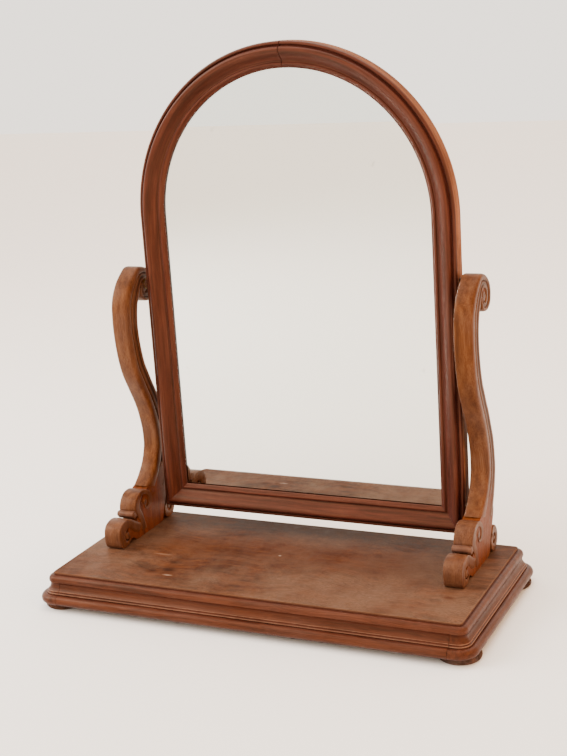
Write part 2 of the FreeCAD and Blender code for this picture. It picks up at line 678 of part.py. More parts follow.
def stile():
    """Return the right-hand stile, mitred at the foot and let in for the pivot plate."""
    low = sight_z - FRAME_WIDTH
    section = frame_section(lambda u, v: V(sight_half_width + u, v, low))
    bar = section.extrude(V(0, 0, spring_z - low)).cut(mitre_block(keep_rail=True))
    cuts = frame_dowels(SCREW_FIT) + backboard_screws(screw_hole) + [plate_recess(SCREW_FIT)]
    cuts += [plate_screw(way, screw_hole) for way in SIDES]
    return bar.cut(cuts)


def arch_half():
    """Return the right-hand half of the arch, from the springing to the crown."""
    section = frame_section(lambda u, v: V(sight_half_width + u, v, spring_z))
    bar = section.revolve(V(0, 0, spring_z), V(0, -1, 0), 90)
    return bar.cut(frame_dowels(SCREW_FIT) + backboard_screws(screw_hole))


def bottom_rail():
    """Return the frame's bottom rail, mitred at both ends."""
    half = frame_half_width
    section = frame_section(lambda u, v: V(-half, v, sight_z - u))
    bar = section.extrude(V(2 * half, 0, 0))
    block = mitre_block(keep_rail=False)
    bar = bar.cut([block, flipped(block)])
    return bar.cut(frame_dowels(SCREW_FIT) + backboard_screws(screw_hole))


def arched_plate(cover, y0, y1):
    """Return a flat arched plate that reaches a given distance past the sight edge."""
    half = sight_half_width + cover
    face = outline(lambda u, v: V(u, y0, v), (-half, sight_z - cover), (half, sight_z - cover),
                   (half, spring_z), ((0, spring_z + half), (-half, spring_z)))
    return face.extrude(V(0, y1 - y0, 0))


def mirror_glass():
    """Return the silvered glass."""
    return arched_plate(GLASS_COVER - EDGE_GAP, glass_front, glass_back)


def backboard():
    """Return the board that closes the back of the frame."""
    board = arched_plate(BACKBOARD_COVER - EDGE_GAP, ledge_y, ledge_y + BACKBOARD_THICKNESS)
    return board.cut(backboard_screws(screw_hole))


# ---- build and write --------------------------------------------------------------------
def build():
    """Return every piece of the mirror by its node's name."""
    parts = {"top_board": top_board(), "back_rail": back_rail(), "bottom_board": bottom_board(),
             "drawer_stops": drawer_stops(), "drawer_front": drawer_front(), "drawer_back": drawer_back(),
             "drawer_bottom": drawer_bottom(), "frame_bottom_rail": bottom_rail(),
             "frame_dowels": Part.makeCompound(frame_dowels()), "mirror_glass": mirror_glass(),
             "backboard": backboard(), "backboard_screws": Part.makeCompound(backboard_screws())}
    handed = {"side_rail": side_rail, "drawer_runner": runner, "drawer_side": drawer_side,
              "foot_front": lambda: foot(-1), "foot_back": lambda: foot(1), "support": support,
              "frame_stile": stile, "frame_arch": arch_half, "pivot_stud": pivot_stud,
              "pivot_bush": lambda: bush(PIN_RADIUS + PIN_CLEARANCE), "friction_washer": friction_washer}
    for name, maker in handed.items():
        for side, shape in both_sides(maker):
            parts[f"{name}_{side}"] = shape
    grouped = {"foot_screws": [foot_screw(sign_y) for sign_y in SIDES],
               "support_screws": [support_screw(y) for y in SUPPORT_SCREW_DEPTHS],
               "pivot_plate_screws": [plate_screw(way) for way in SIDES]}
    for name, right in grouped.items():
        left = [flipped(s) for s in right]
        parts[name] = Part.makeCompound(right + left)
    holes = [support_screw(y, screw_hole) for y in SUPPORT_SCREW_DEPTHS]
    holes += [flipped(h) for h in holes]
    parts["top_board"] = parts["top_board"].cut(holes)
    return parts


os.makedirs("parts", exist_ok=True)
for node, shape in build().items():
    if not shape.isValid():
        print("invalid:", node)
    print(f"{node:24s} solids {len(shape.Solids)}  volume {shape.Volume / 1000:.1f} cm3")
    shape.exportStep(f"parts/{node}.step")
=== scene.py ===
import logging
import math
from dataclasses import dataclass, field, replace
from enum import Enum
from typing import Callable, ClassVar, Iterable, Optional, Sequence

import bmesh
import bpy
from mathutils import Matrix, Vector


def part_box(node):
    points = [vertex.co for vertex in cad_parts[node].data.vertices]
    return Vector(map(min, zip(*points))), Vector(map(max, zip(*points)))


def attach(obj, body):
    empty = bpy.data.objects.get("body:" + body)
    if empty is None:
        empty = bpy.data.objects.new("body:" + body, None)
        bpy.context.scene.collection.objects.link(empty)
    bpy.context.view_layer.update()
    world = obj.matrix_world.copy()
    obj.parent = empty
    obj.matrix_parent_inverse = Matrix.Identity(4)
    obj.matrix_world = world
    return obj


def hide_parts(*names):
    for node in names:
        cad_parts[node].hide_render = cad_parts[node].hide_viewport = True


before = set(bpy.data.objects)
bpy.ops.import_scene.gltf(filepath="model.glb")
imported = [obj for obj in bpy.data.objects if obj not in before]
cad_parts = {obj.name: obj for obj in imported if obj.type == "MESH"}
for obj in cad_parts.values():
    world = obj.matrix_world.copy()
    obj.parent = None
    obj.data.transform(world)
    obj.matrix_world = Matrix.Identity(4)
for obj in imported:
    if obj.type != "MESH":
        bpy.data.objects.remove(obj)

MM = 0.001
X_AXIS, Y_AXIS, Z_AXIS = Vector((1, 0, 0)), Vector((0, 1, 0)), Vector((0, 0, 1))
HAIR = 0.01 * MM                            # points closer than this are one point
NEAR = 0.1 * MM                             # a point this close to a line or a plane lies on it
SHARPEST = 0.6 * MM                         # an edge rounded to this radius counts as fully sharp
OTHER_PLANK = Vector((0.71, 0.23, 0.0))     # from a right-hand piece to its left-hand twin
LOG = logging.getLogger("dressing_mirror")

Point = tuple[float, float]
Colour = tuple[float, float, float, float]
Box = tuple[Vector, Vector]
Place = Callable[[float, float], Vector]
Grain = Callable[[Vector], Vector]
Piece, Tree, Node, Socket = bpy.types.Object, bpy.types.NodeTree, bpy.types.Node, bpy.types.NodeSocket


# ---------------------------------------------------------------- curves in a plane
def arc(start: Point, middle: Point, end: Point, steps: int) -> list[Point]:
    """Return points along the arc through three points, without its start.

    Args:
        start: Where the arc begins.
        middle: Any point on the arc between its ends.
        end: Where the arc ends.
        steps: How many pieces the arc is divided into.

    Returns:
        The points after the start, the end included.
    """
    (ax, ay), (bx, by), (cx, cy) = start, middle, end
    spread = 2 * (ax * (by - cy) + bx * (cy - ay) + cx * (ay - by))
    a2, b2, c2 = ax * ax + ay * ay, bx * bx + by * by, cx * cx + cy * cy
    ox = (a2 * (by - cy) + b2 * (cy - ay) + c2 * (ay - by)) / spread
    oy = (a2 * (cx - bx) + b2 * (ax - cx) + c2 * (bx - ax)) / spread
    radius = math.hypot(ax - ox, ay - oy)
    first = math.atan2(ay - oy, ax - ox)
    turn = (math.atan2(cy - oy, cx - ox) - first) % math.tau
    through = (math.atan2(by - oy, bx - ox) - first) % math.tau
    if through > turn:
        turn -= math.tau
    angles = [first + turn * i / steps for i in range(1, steps + 1)]
    return [(ox + radius * math.cos(a), oy + radius * math.sin(a)) for a in angles]


def smooth(points: Sequence[Sequence[float]], steps: int) -> list[tuple[float, ...]]:
    """Return a smooth curve through the points, each stretch divided into steps.

    Args:
        points: The points to pass through, each with the same number of values.
        steps: How many pieces each stretch is divided into.

    Returns:
        The curve's points, the first and last given points included.
    """
    ends = [points[0], *points, points[-1]]
    curve = []
    for p0, p1, p2, p3 in zip(ends, ends[1:], ends[2:], ends[3:]):
        for i in range(steps):
            t = i / steps
            curve.append(tuple(
                0.5 * (2 * b + (c - a) * t + (2 * a - 5 * b + 4 * c - d) * t * t
                       + (3 * b - a - 3 * c + d) * t ** 3)
                for a, b, c, d in zip(p0, p1, p2, p3)))
    curve.append(tuple(points[-1]))
    return curve


def eased(points: Sequence[Point], ease: float, angle: float = 30.0, crisp: Sequence[int] = ()) -> list[Point]:
    """Return a closed outline with its corners eased, as sandpaper and wax leave them.

    Args:
        points: The outline's corners in order.
        ease: How far from a corner the easing begins.
        angle: Corners that turn by less than this, in degrees, are left alone.
        crisp: Numbers of the corners that meet another piece and stay sharp, counted from the end.

    Returns:
        The new outline. Beside a long side it has a point close to the corner, so that a rubbed
        edge stays narrow.
    """
    result = []
    beside = 5 * ease
    kept = [len(points) - i for i in crisp]
    for i, (before, here, after) in enumerate(zip([points[-1], *points], points, [*points[1:], points[0]])):
        corner, back, on = Vector(here), Vector(before), Vector(after)
        if i in kept or (corner - back).angle(on - corner, 0.0) < math.radians(angle):
            result.append(here)
            continue
        sides = [(side - corner).length for side in (back, on)]
        ways = [(side - corner).normalized() for side in (back, on)]
        cuts = [corner + way * min(ease, 0.4 * length) for way, length in zip(ways, sides)]
        rounded = [cuts[0], (cuts[0] + cuts[1] + 2 * corner) / 4, cuts[1]]
        if sides[0] > 2 * beside:
            rounded.insert(0, corner + ways[0] * beside)
        if sides[1] > 2 * beside:
            rounded.append(corner + ways[1] * beside)
        result += [tuple(place) for place in rounded]
    return result


# ---------------------------------------------------------------- bench work: making a mesh
def deselect() -> None:
    """Leave nothing selected, so that an operator acts on the new piece alone."""
    if bpy.context.object and bpy.context.object.mode != "OBJECT":
        bpy.ops.object.mode_set(mode="OBJECT")
    bpy.ops.object.select_all(action="DESELECT")


def draw_outline(name: str, points: Sequence[Vector]) -> Piece:
    """Draw a closed outline by extruding one vertex from point to point, then fill it.

    Args:
        name: The new piece's name.
        points: The outline's corners in order, in metres.

    Returns:
        The piece, in edit mode with its one face selected.
    """
    deselect()
    bpy.ops.mesh.primitive_plane_add(size=MM, location=(0, 0, 0))
    piece = bpy.context.object
    piece.name = name
    bpy.ops.object.mode_set(mode="EDIT")
    bpy.ops.mesh.select_mode(type="VERT")
    bpy.ops.mesh.select_all(action="SELECT")
    bpy.ops.mesh.merge(type="CENTER")
    bpy.ops.transform.translate(value=points[0])
    for here, there in zip(points, points[1:]):
        bpy.ops.mesh.extrude_vertices_move(TRANSFORM_OT_translate={"value": there - here})
    bpy.ops.mesh.select_all(action="SELECT")
    bpy.ops.mesh.edge_face_add()
    return piece


def run(way: Vector) -> None:
    """Extrude the selected face in a straight line."""
    bpy.ops.mesh.extrude_region_move(TRANSFORM_OT_translate={"value": way})


def saw(place: Vector, away: Vector) -> None:
    """Cut the piece along a plane, close the cut and drop what lies on the far side.

    Args:
        place: A point on the plane.
        away: The direction of the side that is dropped.
    """
    bpy.ops.mesh.select_all(action="SELECT")
    bpy.ops.mesh.bisect(plane_co=place, plane_no=away, use_fill=True, clear_outer=True)


def select_edges(piece: Piece, wanted: Callable[[Vector, Vector], bool]) -> None:
    """Select the edges that pass a test, and nothing else.

    Args:
        piece: The piece, in edit mode.
        wanted: The test, which is given the two ends of an edge.
    """
    bpy.ops.mesh.select_mode(type="EDGE")
    bpy.ops.mesh.select_all(action="DESELECT")
    mesh = bmesh.from_edit_mesh(piece.data)
    for edge in mesh.edges:
        edge.select_set(bool(wanted(edge.verts[0].co, edge.verts[1].co)))
    bmesh.update_edit_mesh(piece.data)


def select_faces(piece: Piece, wanted: Callable[[Vector, Vector], bool]) -> None:
    """Select the faces that pass a test, and nothing else.

    Args:
        piece: The piece, in edit mode.
        wanted: The test, which is given the centre and the normal of a face.
    """
    bpy.ops.mesh.select_mode(type="FACE")
    bpy.ops.mesh.select_all(action="DESELECT")
    mesh = bmesh.from_edit_mesh(piece.data)
    for face in mesh.faces:
        face.select_set(bool(wanted(face.calc_center_median(), face.normal)))
    bmesh.update_edit_mesh(piece.data)


def move_ring(piece: Piece, here: Sequence[Vector], there: Sequence[Vector]) -> None:
    """Move the selected ring of vertices from one set of places to another.

    Args:
        piece: The piece, in edit mode.
        here: Where the vertices are.
        there: Where each of them goes, in the same order.
    """
    mesh = bmesh.from_edit_mesh(piece.data)
    for vertex in (v for v in mesh.verts if v.select):
        nearest = min(range(len(here)), key=lambda i: (here[i] - vertex.co).length_squared)
        vertex.co = there[nearest]
    mesh.normal_update()
    bmesh.update_edit_mesh(piece.data)


def close_up(piece: Piece, ease: float = 0.0, angle: float = 40.0) -> Piece:
    """Leave edit mode with outward normals, ease sharp edges and smooth the rest.

    Args:
        piece: The piece, in edit mode.
        ease: The width in metres by which sharp edges are eased, or 0 for none.
        angle: Edges sharper than this, in degrees, count as sharp.

    Returns:
        The same piece.
    """
    bpy.ops.mesh.select_all(action="SELECT")
    bpy.ops.mesh.remove_doubles(threshold=HAIR)
    bpy.ops.mesh.normals_make_consistent(inside=False)
    bpy.ops.object.mode_set(mode="OBJECT")
    if ease:
        bevel = piece.modifiers.new("eased_edges", "BEVEL")
        bevel.width = ease
        bevel.segments = 2
        bevel.limit_method = "ANGLE"
        bevel.angle_limit = math.radians(angle)
        bpy.ops.object.modifier_apply(modifier=bevel.name)
    bpy.ops.object.shade_smooth_by_angle(angle=math.radians(angle))
    return piece


def mirror_copy(piece: Piece, name: str) -> Piece:
    """Return a mirror image of a piece across the middle of the object, with its own mesh.

    Args:
        piece: The right-hand piece.
        name: The new piece's name.

    Returns:
        The left-hand piece, whose grain comes from another part of the plank.
    """
    deselect()
    piece.select_set(True)
    bpy.context.view_layer.objects.active = piece
    bpy.ops.object.duplicate(linked=False)
    copy = bpy.context.object
    copy.name = name
    copy.data.transform(Matrix.Scale(-1, 4, X_AXIS))
    bpy.ops.object.mode_set(mode="EDIT")
    bpy.ops.mesh.select_all(action="SELECT")
    bpy.ops.mesh.normals_make_consistent(inside=False)
    bpy.ops.object.mode_set(mode="OBJECT")
    for place in copy.data.attributes["grain"].data:
        place.vector = place.vector + OTHER_PLANK
    return copy


def join(pieces: Sequence[Piece], name: str) -> Piece:
    """Join several meshes into one piece.

    Args:
        pieces: The pieces, in object mode.
        name: The whole piece's name.

    Returns:
        The whole piece.
    """
    deselect()
    for piece in pieces:
        piece.select_set(True)
    bpy.context.view_layer.objects.active = pieces[0]
    bpy.ops.object.join()
    whole = bpy.context.object
    whole.name = name
    return whole


# ---------------------------------------------------------------- what the finishes read
def along(axis: int, offset: float = 0.0) -> Grain:
    """Return the grain of a straight piece: its first value runs along the given axis.

    Args:
        axis: 0, 1 or 2 for a board whose fibres run along X, Y or Z.
        offset: Which part of the plank the piece is cut from.

    Returns:
        What turns a point of the piece into its place in the plank.
    """
    def grain(co: Vector) -> Vector:
        """Return the place in the plank of a point of the piece."""
        return Vector((co[axis] + offset, co[(axis + 1) % 3] + offset, co[(axis + 2) % 3]))
    return grain


def round_arch(centre: Vector, radius: float) -> Grain:
    """Return the grain of a bent piece, which follows a circle and runs on from the stile below.

    Args:
        centre: The centre of the circle.
        radius: The radius at which a length along the fibres is true.

    Returns:
        What turns a point of the piece into its place in the plank.
    """
    def grain(co: Vector) -> Vector:
        """Return the place in the plank of a point of the piece."""
        x, z = co.x - centre.x, co.z - centre.z
        return Vector((centre.z + radius * (math.pi / 2 - math.atan2(x, z)), math.hypot(x, z), co.y))
    return grain


def lay_grain(piece: Piece, grain: Grain, reach: float = 4.0 * MM) -> None:
    """Write where each point lies in the plank, and how sharply the surface turns there.

    Args:
        piece: The finished piece, in object mode.
        grain: Turns a point of the piece into its place in the plank, in metres.
        reach: Longer edges than this say nothing about how sharply the surface turns.
    """
    mesh = piece.data
    edges, hollows = [0.0] * len(mesh.vertices), [0.0] * len(mesh.vertices)
    for edge in mesh.edges:
        a, b = (mesh.vertices[i] for i in edge.vertices)
        length = (b.co - a.co).length
        if 1e-6 < length < reach:
            turn = (b.normal - a.normal).dot(b.co - a.co) / length ** 2
            for i in edge.vertices:
                edges[i] = max(edges[i], turn)
                hollows[i] = max(hollows[i], -turn)
    for name, kind in (("grain", "FLOAT_VECTOR"), ("edge", "FLOAT"), ("hollow", "FLOAT")):
        mesh.attributes.new(name, kind, "POINT")
    for vertex, place in zip(mesh.vertices, mesh.attributes["grain"].data):
        place.vector = grain(vertex.co)
    for name, turns in (("edge", edges), ("hollow", hollows)):
        for turn, value in zip(turns, mesh.attributes[name].data):
            value.value = min(1.0, turn * SHARPEST)


# ---------------------------------------------------------------- finishes
def linear(code: str) -> Colour:
    """Turn an sRGB colour to a linear one.

    Args:
        code: Its hex value, such as "a06040".

    Returns:
        The linear red, green and blue, and full opacity.
    """
    values = [int(code[i:i + 2], 16) / 255 for i in (0, 2, 4)]
    r, g, b = (v / 12.92 if v <= 0.04045 else ((v + 0.055) / 1.055) ** 2.4 for v in values)
    return r, g, b, 1.0


def grey(value: float) -> Colour:
    """Return a grey of the given strength."""
    return value, value, value, 1.0


def per_mark(length: float, width: float) -> tuple[float, float, float]:
    """Return the scale at which one mark of a pattern has the given length and width, in metres."""
    return 1 / length, 1 / width, 1 / width


def add(tree: Tree, kind: str, inputs: Optional[dict] = None, stops: Sequence[tuple[float, Colour]] = (),
        **settings: object) -> Node:
    """Add a node with its settings, values and links.

    Args:
        tree: The node tree.
        kind: The node's type.
        inputs: Names of inputs, or their numbers among those in use, each with a value, a socket,
            or a node whose first output in use feeds it.
        stops: The places and colours of a colour ramp.
        **settings: Properties of the node.

    Returns:
        The new node.
    """
    node = tree.nodes.new(kind)
    for key, value in settings.items():
        setattr(node, key, value)
    while stops and len(node.color_ramp.elements) < len(stops):
        node.color_ramp.elements.new(0.5)
    for i, (place, colour) in enumerate(stops):
        node.color_ramp.elements[i].position = place
        node.color_ramp.elements[i].color = colour
    used = [socket for socket in node.inputs if socket.enabled]
    for key, value in (inputs or {}).items():
        target = used[key] if isinstance(key, int) else next(s for s in used if s.name == key)
        if isinstance(value, Node):
            value = next(socket for socket in value.outputs if socket.enabled)
        if isinstance(value, Socket):
            tree.links.new(value, target)
        else:
            target.default_value = value
    return node


class Plank(Enum):
    """Where a wooden surface reads its fibre direction from."""
    MARKED = "the piece's own grain attribute"
    ALONG_X = (0, 1, 2)
    ALONG_Y = (1, 2, 0)


class Figure(Enum):
    """The figure of the wood: the length and width of one band in metres, and its strength."""
    PLAIN = (0.150, 0.014, 0.10)
    RIBBON = (0.170, 0.008, 0.10)
    FLAME = (0.022, 0.060, 0.15)


@dataclass(frozen=True)
class Mark:
    """A stain, a scuff, an unfaded patch or a painted shadow.

    Attributes:
        x: Its middle, to the right of the base's middle, in metres.
        y: Its middle, behind the base's middle, in metres.
        width: Half its width along X, in metres.
        depth: Half its width along Y, in metres.
        colour: Its colour.
        strength: How much of it shows, from 0 to 1.
    """
    x: float
    y: float
    width: float
    depth: float
    colour: str
    strength: float


@dataclass(frozen=True)
class Finish:
    """What a surface is made of and how it was worked.

    Attributes:
        name: The material's name, which says both.
    """
    name: str

    def surface(self, tree: Tree) -> Node:
        """Add the shader and the nodes that feed it."""
        raise NotImplementedError

    def build(self) -> bpy.types.Material:
        """Make the material.

        Returns:
            The material, with its nodes.
        """
        material = bpy.data.materials.new(self.name)
        material.use_nodes = True
        tree = material.node_tree
        tree.nodes.clear()
        add(tree, "ShaderNodeOutputMaterial", {"Surface": self.surface(tree)})
        return material


@dataclass(frozen=True)
class Patterns:
    """The patterns that the layers of a wooden surface share.

    Attributes:
        place: The place in the plank, along the fibres first, in metres.
        swayed: The same, with the fibres bent in slow waves.
        fibres: The fibres, light and dark.
        pores: The pores, 1 inside one and 0 outside.
        ragged: Clouds that give wear and stains their ragged rims.
        worn: How far each point is rubbed.
    """
    place: Socket
    swayed: Node
    fibres: Node
    pores: Node
    ragged: Node
    worn: Node


@dataclass(frozen=True)
class Wood(Finish):
    """A wooden surface: fibres, figure, fading, pores, polish, rubbed edges, grime and painted shade in the hollows,
    and painted shade on the downward faces.

    Attributes:
        dark: Colour of the late wood and of the darkest streaks.
        body: Main colour.
        light: Colour of the palest streaks.
        faded: Colour to which light has bleached it.
        rubbed: Colour of the edges where the polish has worn through.
        soil_and_shade: Colour of old wax and dust in the pores and hollows, and of the painted shade in the hollows and
            on the downward faces.
        plank: Where the direction of the fibres comes from.
        figure: Which figure shows.
        streak: Width of a streak of colour, in metres.
        pore: Length of a pore, in metres.
        rough: Roughness of the polish.
        gloss: How strongly the surface mirrors light, with 0.5 for bare varnish.
        varnish_tint: Colour that the old shellac or wax gives to reflected light.
        coat: How thick the polish lies, from 0 to 1.
        relief: How deep the fibres and pores show through the polish, in metres.
        fade: How much is bleached, from 0 to 1.
        wear: How much of the edges is rubbed, from 0 to 1.
        underside_shade: How much painted shade darkens the faces that point downwards, from 0 to 1.
        hollow_dirt_and_shade: How dark the hollows are, from 0 to 1, with grime and painted shade.
        marks: Stains, scuffs, unfaded patches and a painted shadow.
    """
    dark: str
    body: str
    light: str
    faded: str
    rubbed: str
    soil_and_shade: str = "1c0c07"
    plank: Plank = Plank.MARKED
    figure: Figure = Figure.RIBBON
    streak: float = 3.0 * MM
    pore: float = 3.0 * MM
    rough: float = 0.36
    gloss: float = 0.25
    varnish_tint: str = "f0bf8c"
    coat: float = 0.1
    relief: float = 0.05 * MM
    fade: float = 0.4
    wear: float = 0.6
    underside_shade: float = 0.0
    hollow_dirt_and_shade: float = 0.7
    marks: tuple[Mark, ...] = ()

    def surface(self, tree: Tree) -> Node:
        """Lay the colours over each other and polish them.

        Args:
            tree: The material's nodes.

        Returns:
            The shader.
        """
        shared = self.patterns(tree)
        colour = self.figured(tree, shared)
        for layer in (self.aged, self.pored, self.marked, self.edged):
            colour = layer(tree, shared, colour)
        return self.varnished(tree, shared, colour)

    def patterns(self, tree: Tree) -> Patterns:
        """Draw the fibres, the pores and the wear.

        Args:
            tree: The material's nodes.

        Returns:
            The patterns.
        """
        place = self.place(tree)
        swayed = self.swayed(tree, place)
        # Fibres are finer than the eye can part at this distance, so they are drawn 0.9 mm wide.
        strands = add(tree, "ShaderNodeVectorMath", {0: swayed, 1: per_mark(45 * MM, 0.9 * MM)},
                      operation="MULTIPLY")
        fibres = add(tree, "ShaderNodeTexNoise", {
            "Vector": strands, "Scale": 1.0, "Detail": 3.0, "Roughness": 0.65})
        # Pores are short dark lines along the fibres, nine times as long as they are wide.
        lines = add(tree, "ShaderNodeVectorMath", {0: swayed, 1: per_mark(self.pore, self.pore / 9)},
                    operation="MULTIPLY")
        fleck = add(tree, "ShaderNodeTexNoise", {"Vector": lines, "Scale": 1.0, "Detail": 1.0})
        pores = add(tree, "ShaderNodeValToRGB", {"Fac": fleck}, [(0.34, grey(1.0)), (0.43, grey(0.0))])
        # Wear and stains end in ragged rims, with marks about 11 mm wide.
        ragged = add(tree, "ShaderNodeTexNoise", {"Vector": place, "Scale": 90.0, "Detail": 5.0, "Roughness": 0.65})
        edge = add(tree, "ShaderNodeAttribute", attribute_name="edge").outputs["Fac"]
        uneven = add(tree, "ShaderNodeMath", {0: ragged, 1: 0.7, 2: edge}, operation="MULTIPLY_ADD")
        worn = add(tree, "ShaderNodeMapRange", {
            "Value": uneven, "From Min": 0.62, "From Max": 1.25, "To Min": 0.0, "To Max": self.wear})
        return Patterns(place, swayed, fibres, pores, ragged, worn)

    def place(self, tree: Tree) -> Socket:
        """Find each point's place in the plank.

        Args:
            tree: The material's nodes.

        Returns:
            The place: along the fibres first, in metres.
        """
        if self.plank is Plank.MARKED:
            return add(tree, "ShaderNodeAttribute", attribute_name="grain").outputs["Vector"]
        parts = add(tree, "ShaderNodeSeparateXYZ", {0: add(tree, "ShaderNodeTexCoord").outputs["Object"]}).outputs
        first, second, third = self.plank.value
        return add(tree, "ShaderNodeCombineXYZ", {0: parts[first], 1: parts[second], 2: parts[third]}).outputs[0]

    def swayed(self, tree: Tree, place: Socket) -> Node:
        """Bend the fibres in slow waves, as they run round knots and where a trunk twists.

        Args:
            tree: The material's nodes.
            place: The place in the plank.

        Returns:
            The bent place.
        """
        reach = 1.28 * self.figure.value[1]
        waves = add(tree, "ShaderNodeTexNoise", {"Vector": place, "Scale": 8.0, "Detail": 2.0})
        bend = add(tree, "ShaderNodeVectorMath", {0: waves.outputs["Color"], 1: (0.0, reach, reach)},
                   operation="MULTIPLY")
        return add(tree, "ShaderNodeVectorMath", {0: place, 1: bend}, operation="ADD")

    def figured(self, tree: Tree, shared: Patterns) -> Node:
        """Colour the growth bands and fibres, and lay the figure over them.

        Args:
            tree: The material's nodes.
            shared: The wood's patterns.

        Returns:
            The colour of the bare wood.
        """
        length, width, strength = self.figure.value
        streaks = add(tree, "ShaderNodeVectorMath", {
            0: shared.swayed, 1: per_mark(40 * self.streak, 2 * self.streak)}, operation="MULTIPLY")
        bands = add(tree, "ShaderNodeTexNoise", {
            "Vector": streaks, "Scale": 1.0, "Detail": 3.0, "Roughness": 0.55})
        tone = add(tree, "ShaderNodeMix", {"Factor": 0.42, "A": bands, "B": shared.fibres})
        colour = add(tree, "ShaderNodeValToRGB", {"Fac": tone}, [
            (0.39, linear(self.dark)), (0.50, linear(self.body)), (0.61, linear(self.light))])
        ripples = add(tree, "ShaderNodeVectorMath", {0: shared.swayed, 1: per_mark(length, width)},
                      operation="MULTIPLY")
        figure = add(tree, "ShaderNodeTexNoise", {
            "Vector": ripples, "Scale": 1.0, "Detail": 2.0, "Roughness": 0.5})
        shade = add(tree, "ShaderNodeValToRGB", {"Fac": figure}, [
            (0.40, grey(1 - strength)), (0.60, grey(1 + strength))])
        return add(tree, "ShaderNodeMix", {"Factor": 1.0, "A": colour, "B": shade}, data_type="RGBA",
                   blend_type="MULTIPLY")

    def aged(self, tree: Tree, shared: Patterns, colour: Node) -> Node:
        """Bleach the wood in patches as wide as a hand, with the fibres still showing.

        Args:
            tree: The material's nodes.
            shared: The wood's patterns.
            colour: The colour so far.

        Returns:
            The new colour.
        """
        patches = add(tree, "ShaderNodeTexNoise", {
            "Vector": shared.place, "Scale": 9.0, "Detail": 4.0, "Roughness": 0.6})
        share = add(tree, "ShaderNodeMapRange", {
            "Value": patches, "From Min": 0.36, "From Max": 0.66, "To Min": 0.0, "To Max": self.fade})
        silky = add(tree, "ShaderNodeValToRGB", {"Fac": shared.fibres}, [(0.36, grey(0.72)), (0.64, grey(1.28))])
        bleached = add(tree, "ShaderNodeMix", {"Factor": 1.0, "A": silky, "B": linear(self.faded)},
                       data_type="RGBA", blend_type="MULTIPLY")
        return add(tree, "ShaderNodeMix", {"Factor": share, "A": colour, "B": bleached}, data_type="RGBA")

    def pored(self, tree: Tree, shared: Patterns, colour: Node) -> Node:
        """Darken the pores, which hold old polish."""
        share = add(tree, "ShaderNodeMath", {0: shared.pores, 1: 0.22}, operation="MULTIPLY")
        return add(tree, "ShaderNodeMix", {"Factor": share, "A": colour, "B": linear(self.soil_and_shade)}, data_type="RGBA")

    def marked(self, tree: Tree, shared: Patterns, colour: Node) -> Node:
        """Lay the stains, scuffs, unfaded patches and the painted shadow over the colour.

        Args:
            tree: The material's nodes.
            shared: The wood's patterns.
            colour: The colour so far.

        Returns:
            The new colour.
        """
        for mark in self.marks:
            place = add(tree, "ShaderNodeTexCoord").outputs["Object"]
            away = add(tree, "ShaderNodeVectorMath", {0: place, 1: (mark.x, mark.y, 0.0)}, operation="SUBTRACT")
            scaled = add(tree, "ShaderNodeVectorMath", {0: away, 1: (1 / mark.width, 1 / mark.depth, 0.0)},
                         operation="MULTIPLY")
            far = add(tree, "ShaderNodeVectorMath", {0: scaled}, operation="LENGTH")
            rim = add(tree, "ShaderNodeMath", {0: shared.ragged, 1: 1.1, 2: far}, operation="MULTIPLY_ADD")
            share = add(tree, "ShaderNodeMapRange", {
                "Value": rim, "From Min": 0.8, "From Max": 1.7, "To Min": mark.strength, "To Max": 0.0})
            colour = add(tree, "ShaderNodeMix", {"Factor": share, "A": colour, "B": linear(mark.colour)},
                         data_type="RGBA")
        return colour

    def edged(self, tree: Tree, shared: Patterns, colour: Node) -> Node:
        """Rub the edges pale, darken the hollows with grime and painted shade, and darken the downward faces with
        painted shade.

        Args:
            tree: The material's nodes.
            shared: The wood's patterns.
            colour: The colour so far.

        Returns:
            The new colour.
        """
        rubbed = add(tree, "ShaderNodeMix", {"Factor": shared.worn, "A": colour, "B": linear(self.rubbed)},
                     data_type="RGBA")
        hollow = add(tree, "ShaderNodeAttribute", attribute_name="hollow").outputs["Fac"]
        # Painted shade with real grime: an open cove darkens most; a narrow quirk is half filled with paler wax.
        share = add(tree, "ShaderNodeValToRGB", {"Fac": hollow}, [
            (0.02, grey(0.0)), (0.12, grey(self.hollow_dirt_and_shade)), (0.50, grey(0.15 * self.hollow_dirt_and_shade))])
        # Painted shade: faces that point downwards are darkened towards the grime colour.
        facing = add(tree, "ShaderNodeSeparateXYZ", {0: add(tree, "ShaderNodeTexCoord").outputs["Normal"]})
        below = add(tree, "ShaderNodeMapRange", {
            "Value": facing.outputs["Z"], "From Min": -0.35, "From Max": -0.95, "To Min": 0.0, "To Max": self.underside_shade})
        grime_and_shade = add(tree, "ShaderNodeMath", {0: share, 1: below}, operation="MAXIMUM")
        return add(tree, "ShaderNodeMix", {"Factor": grime_and_shade, "A": rubbed, "B": linear(self.soil_and_shade)},
                   data_type="RGBA")

    def varnished(self, tree: Tree, shared: Patterns, colour: Node) -> Node:
        """Polish the surface: duller where it is rubbed, with fibres and hand-worked ripples beneath it.

        Args:
            tree: The material's nodes.
            shared: The wood's patterns.
            colour: The finished colour.

        Returns:
            The shader.
        """
        smears = add(tree, "ShaderNodeMapRange", {
            "Value": shared.ragged, "From Min": 0.3, "From Max": 0.7, "To Min": self.rough - 0.05,
            "To Max": self.rough + 0.10})
        dull = add(tree, "ShaderNodeMath", {0: shared.worn, 1: 0.25, 2: smears}, operation="MULTIPLY_ADD")
        rough = add(tree, "ShaderNodeMath", {0: shared.pores, 1: 0.10, 2: dull}, operation="MULTIPLY_ADD")
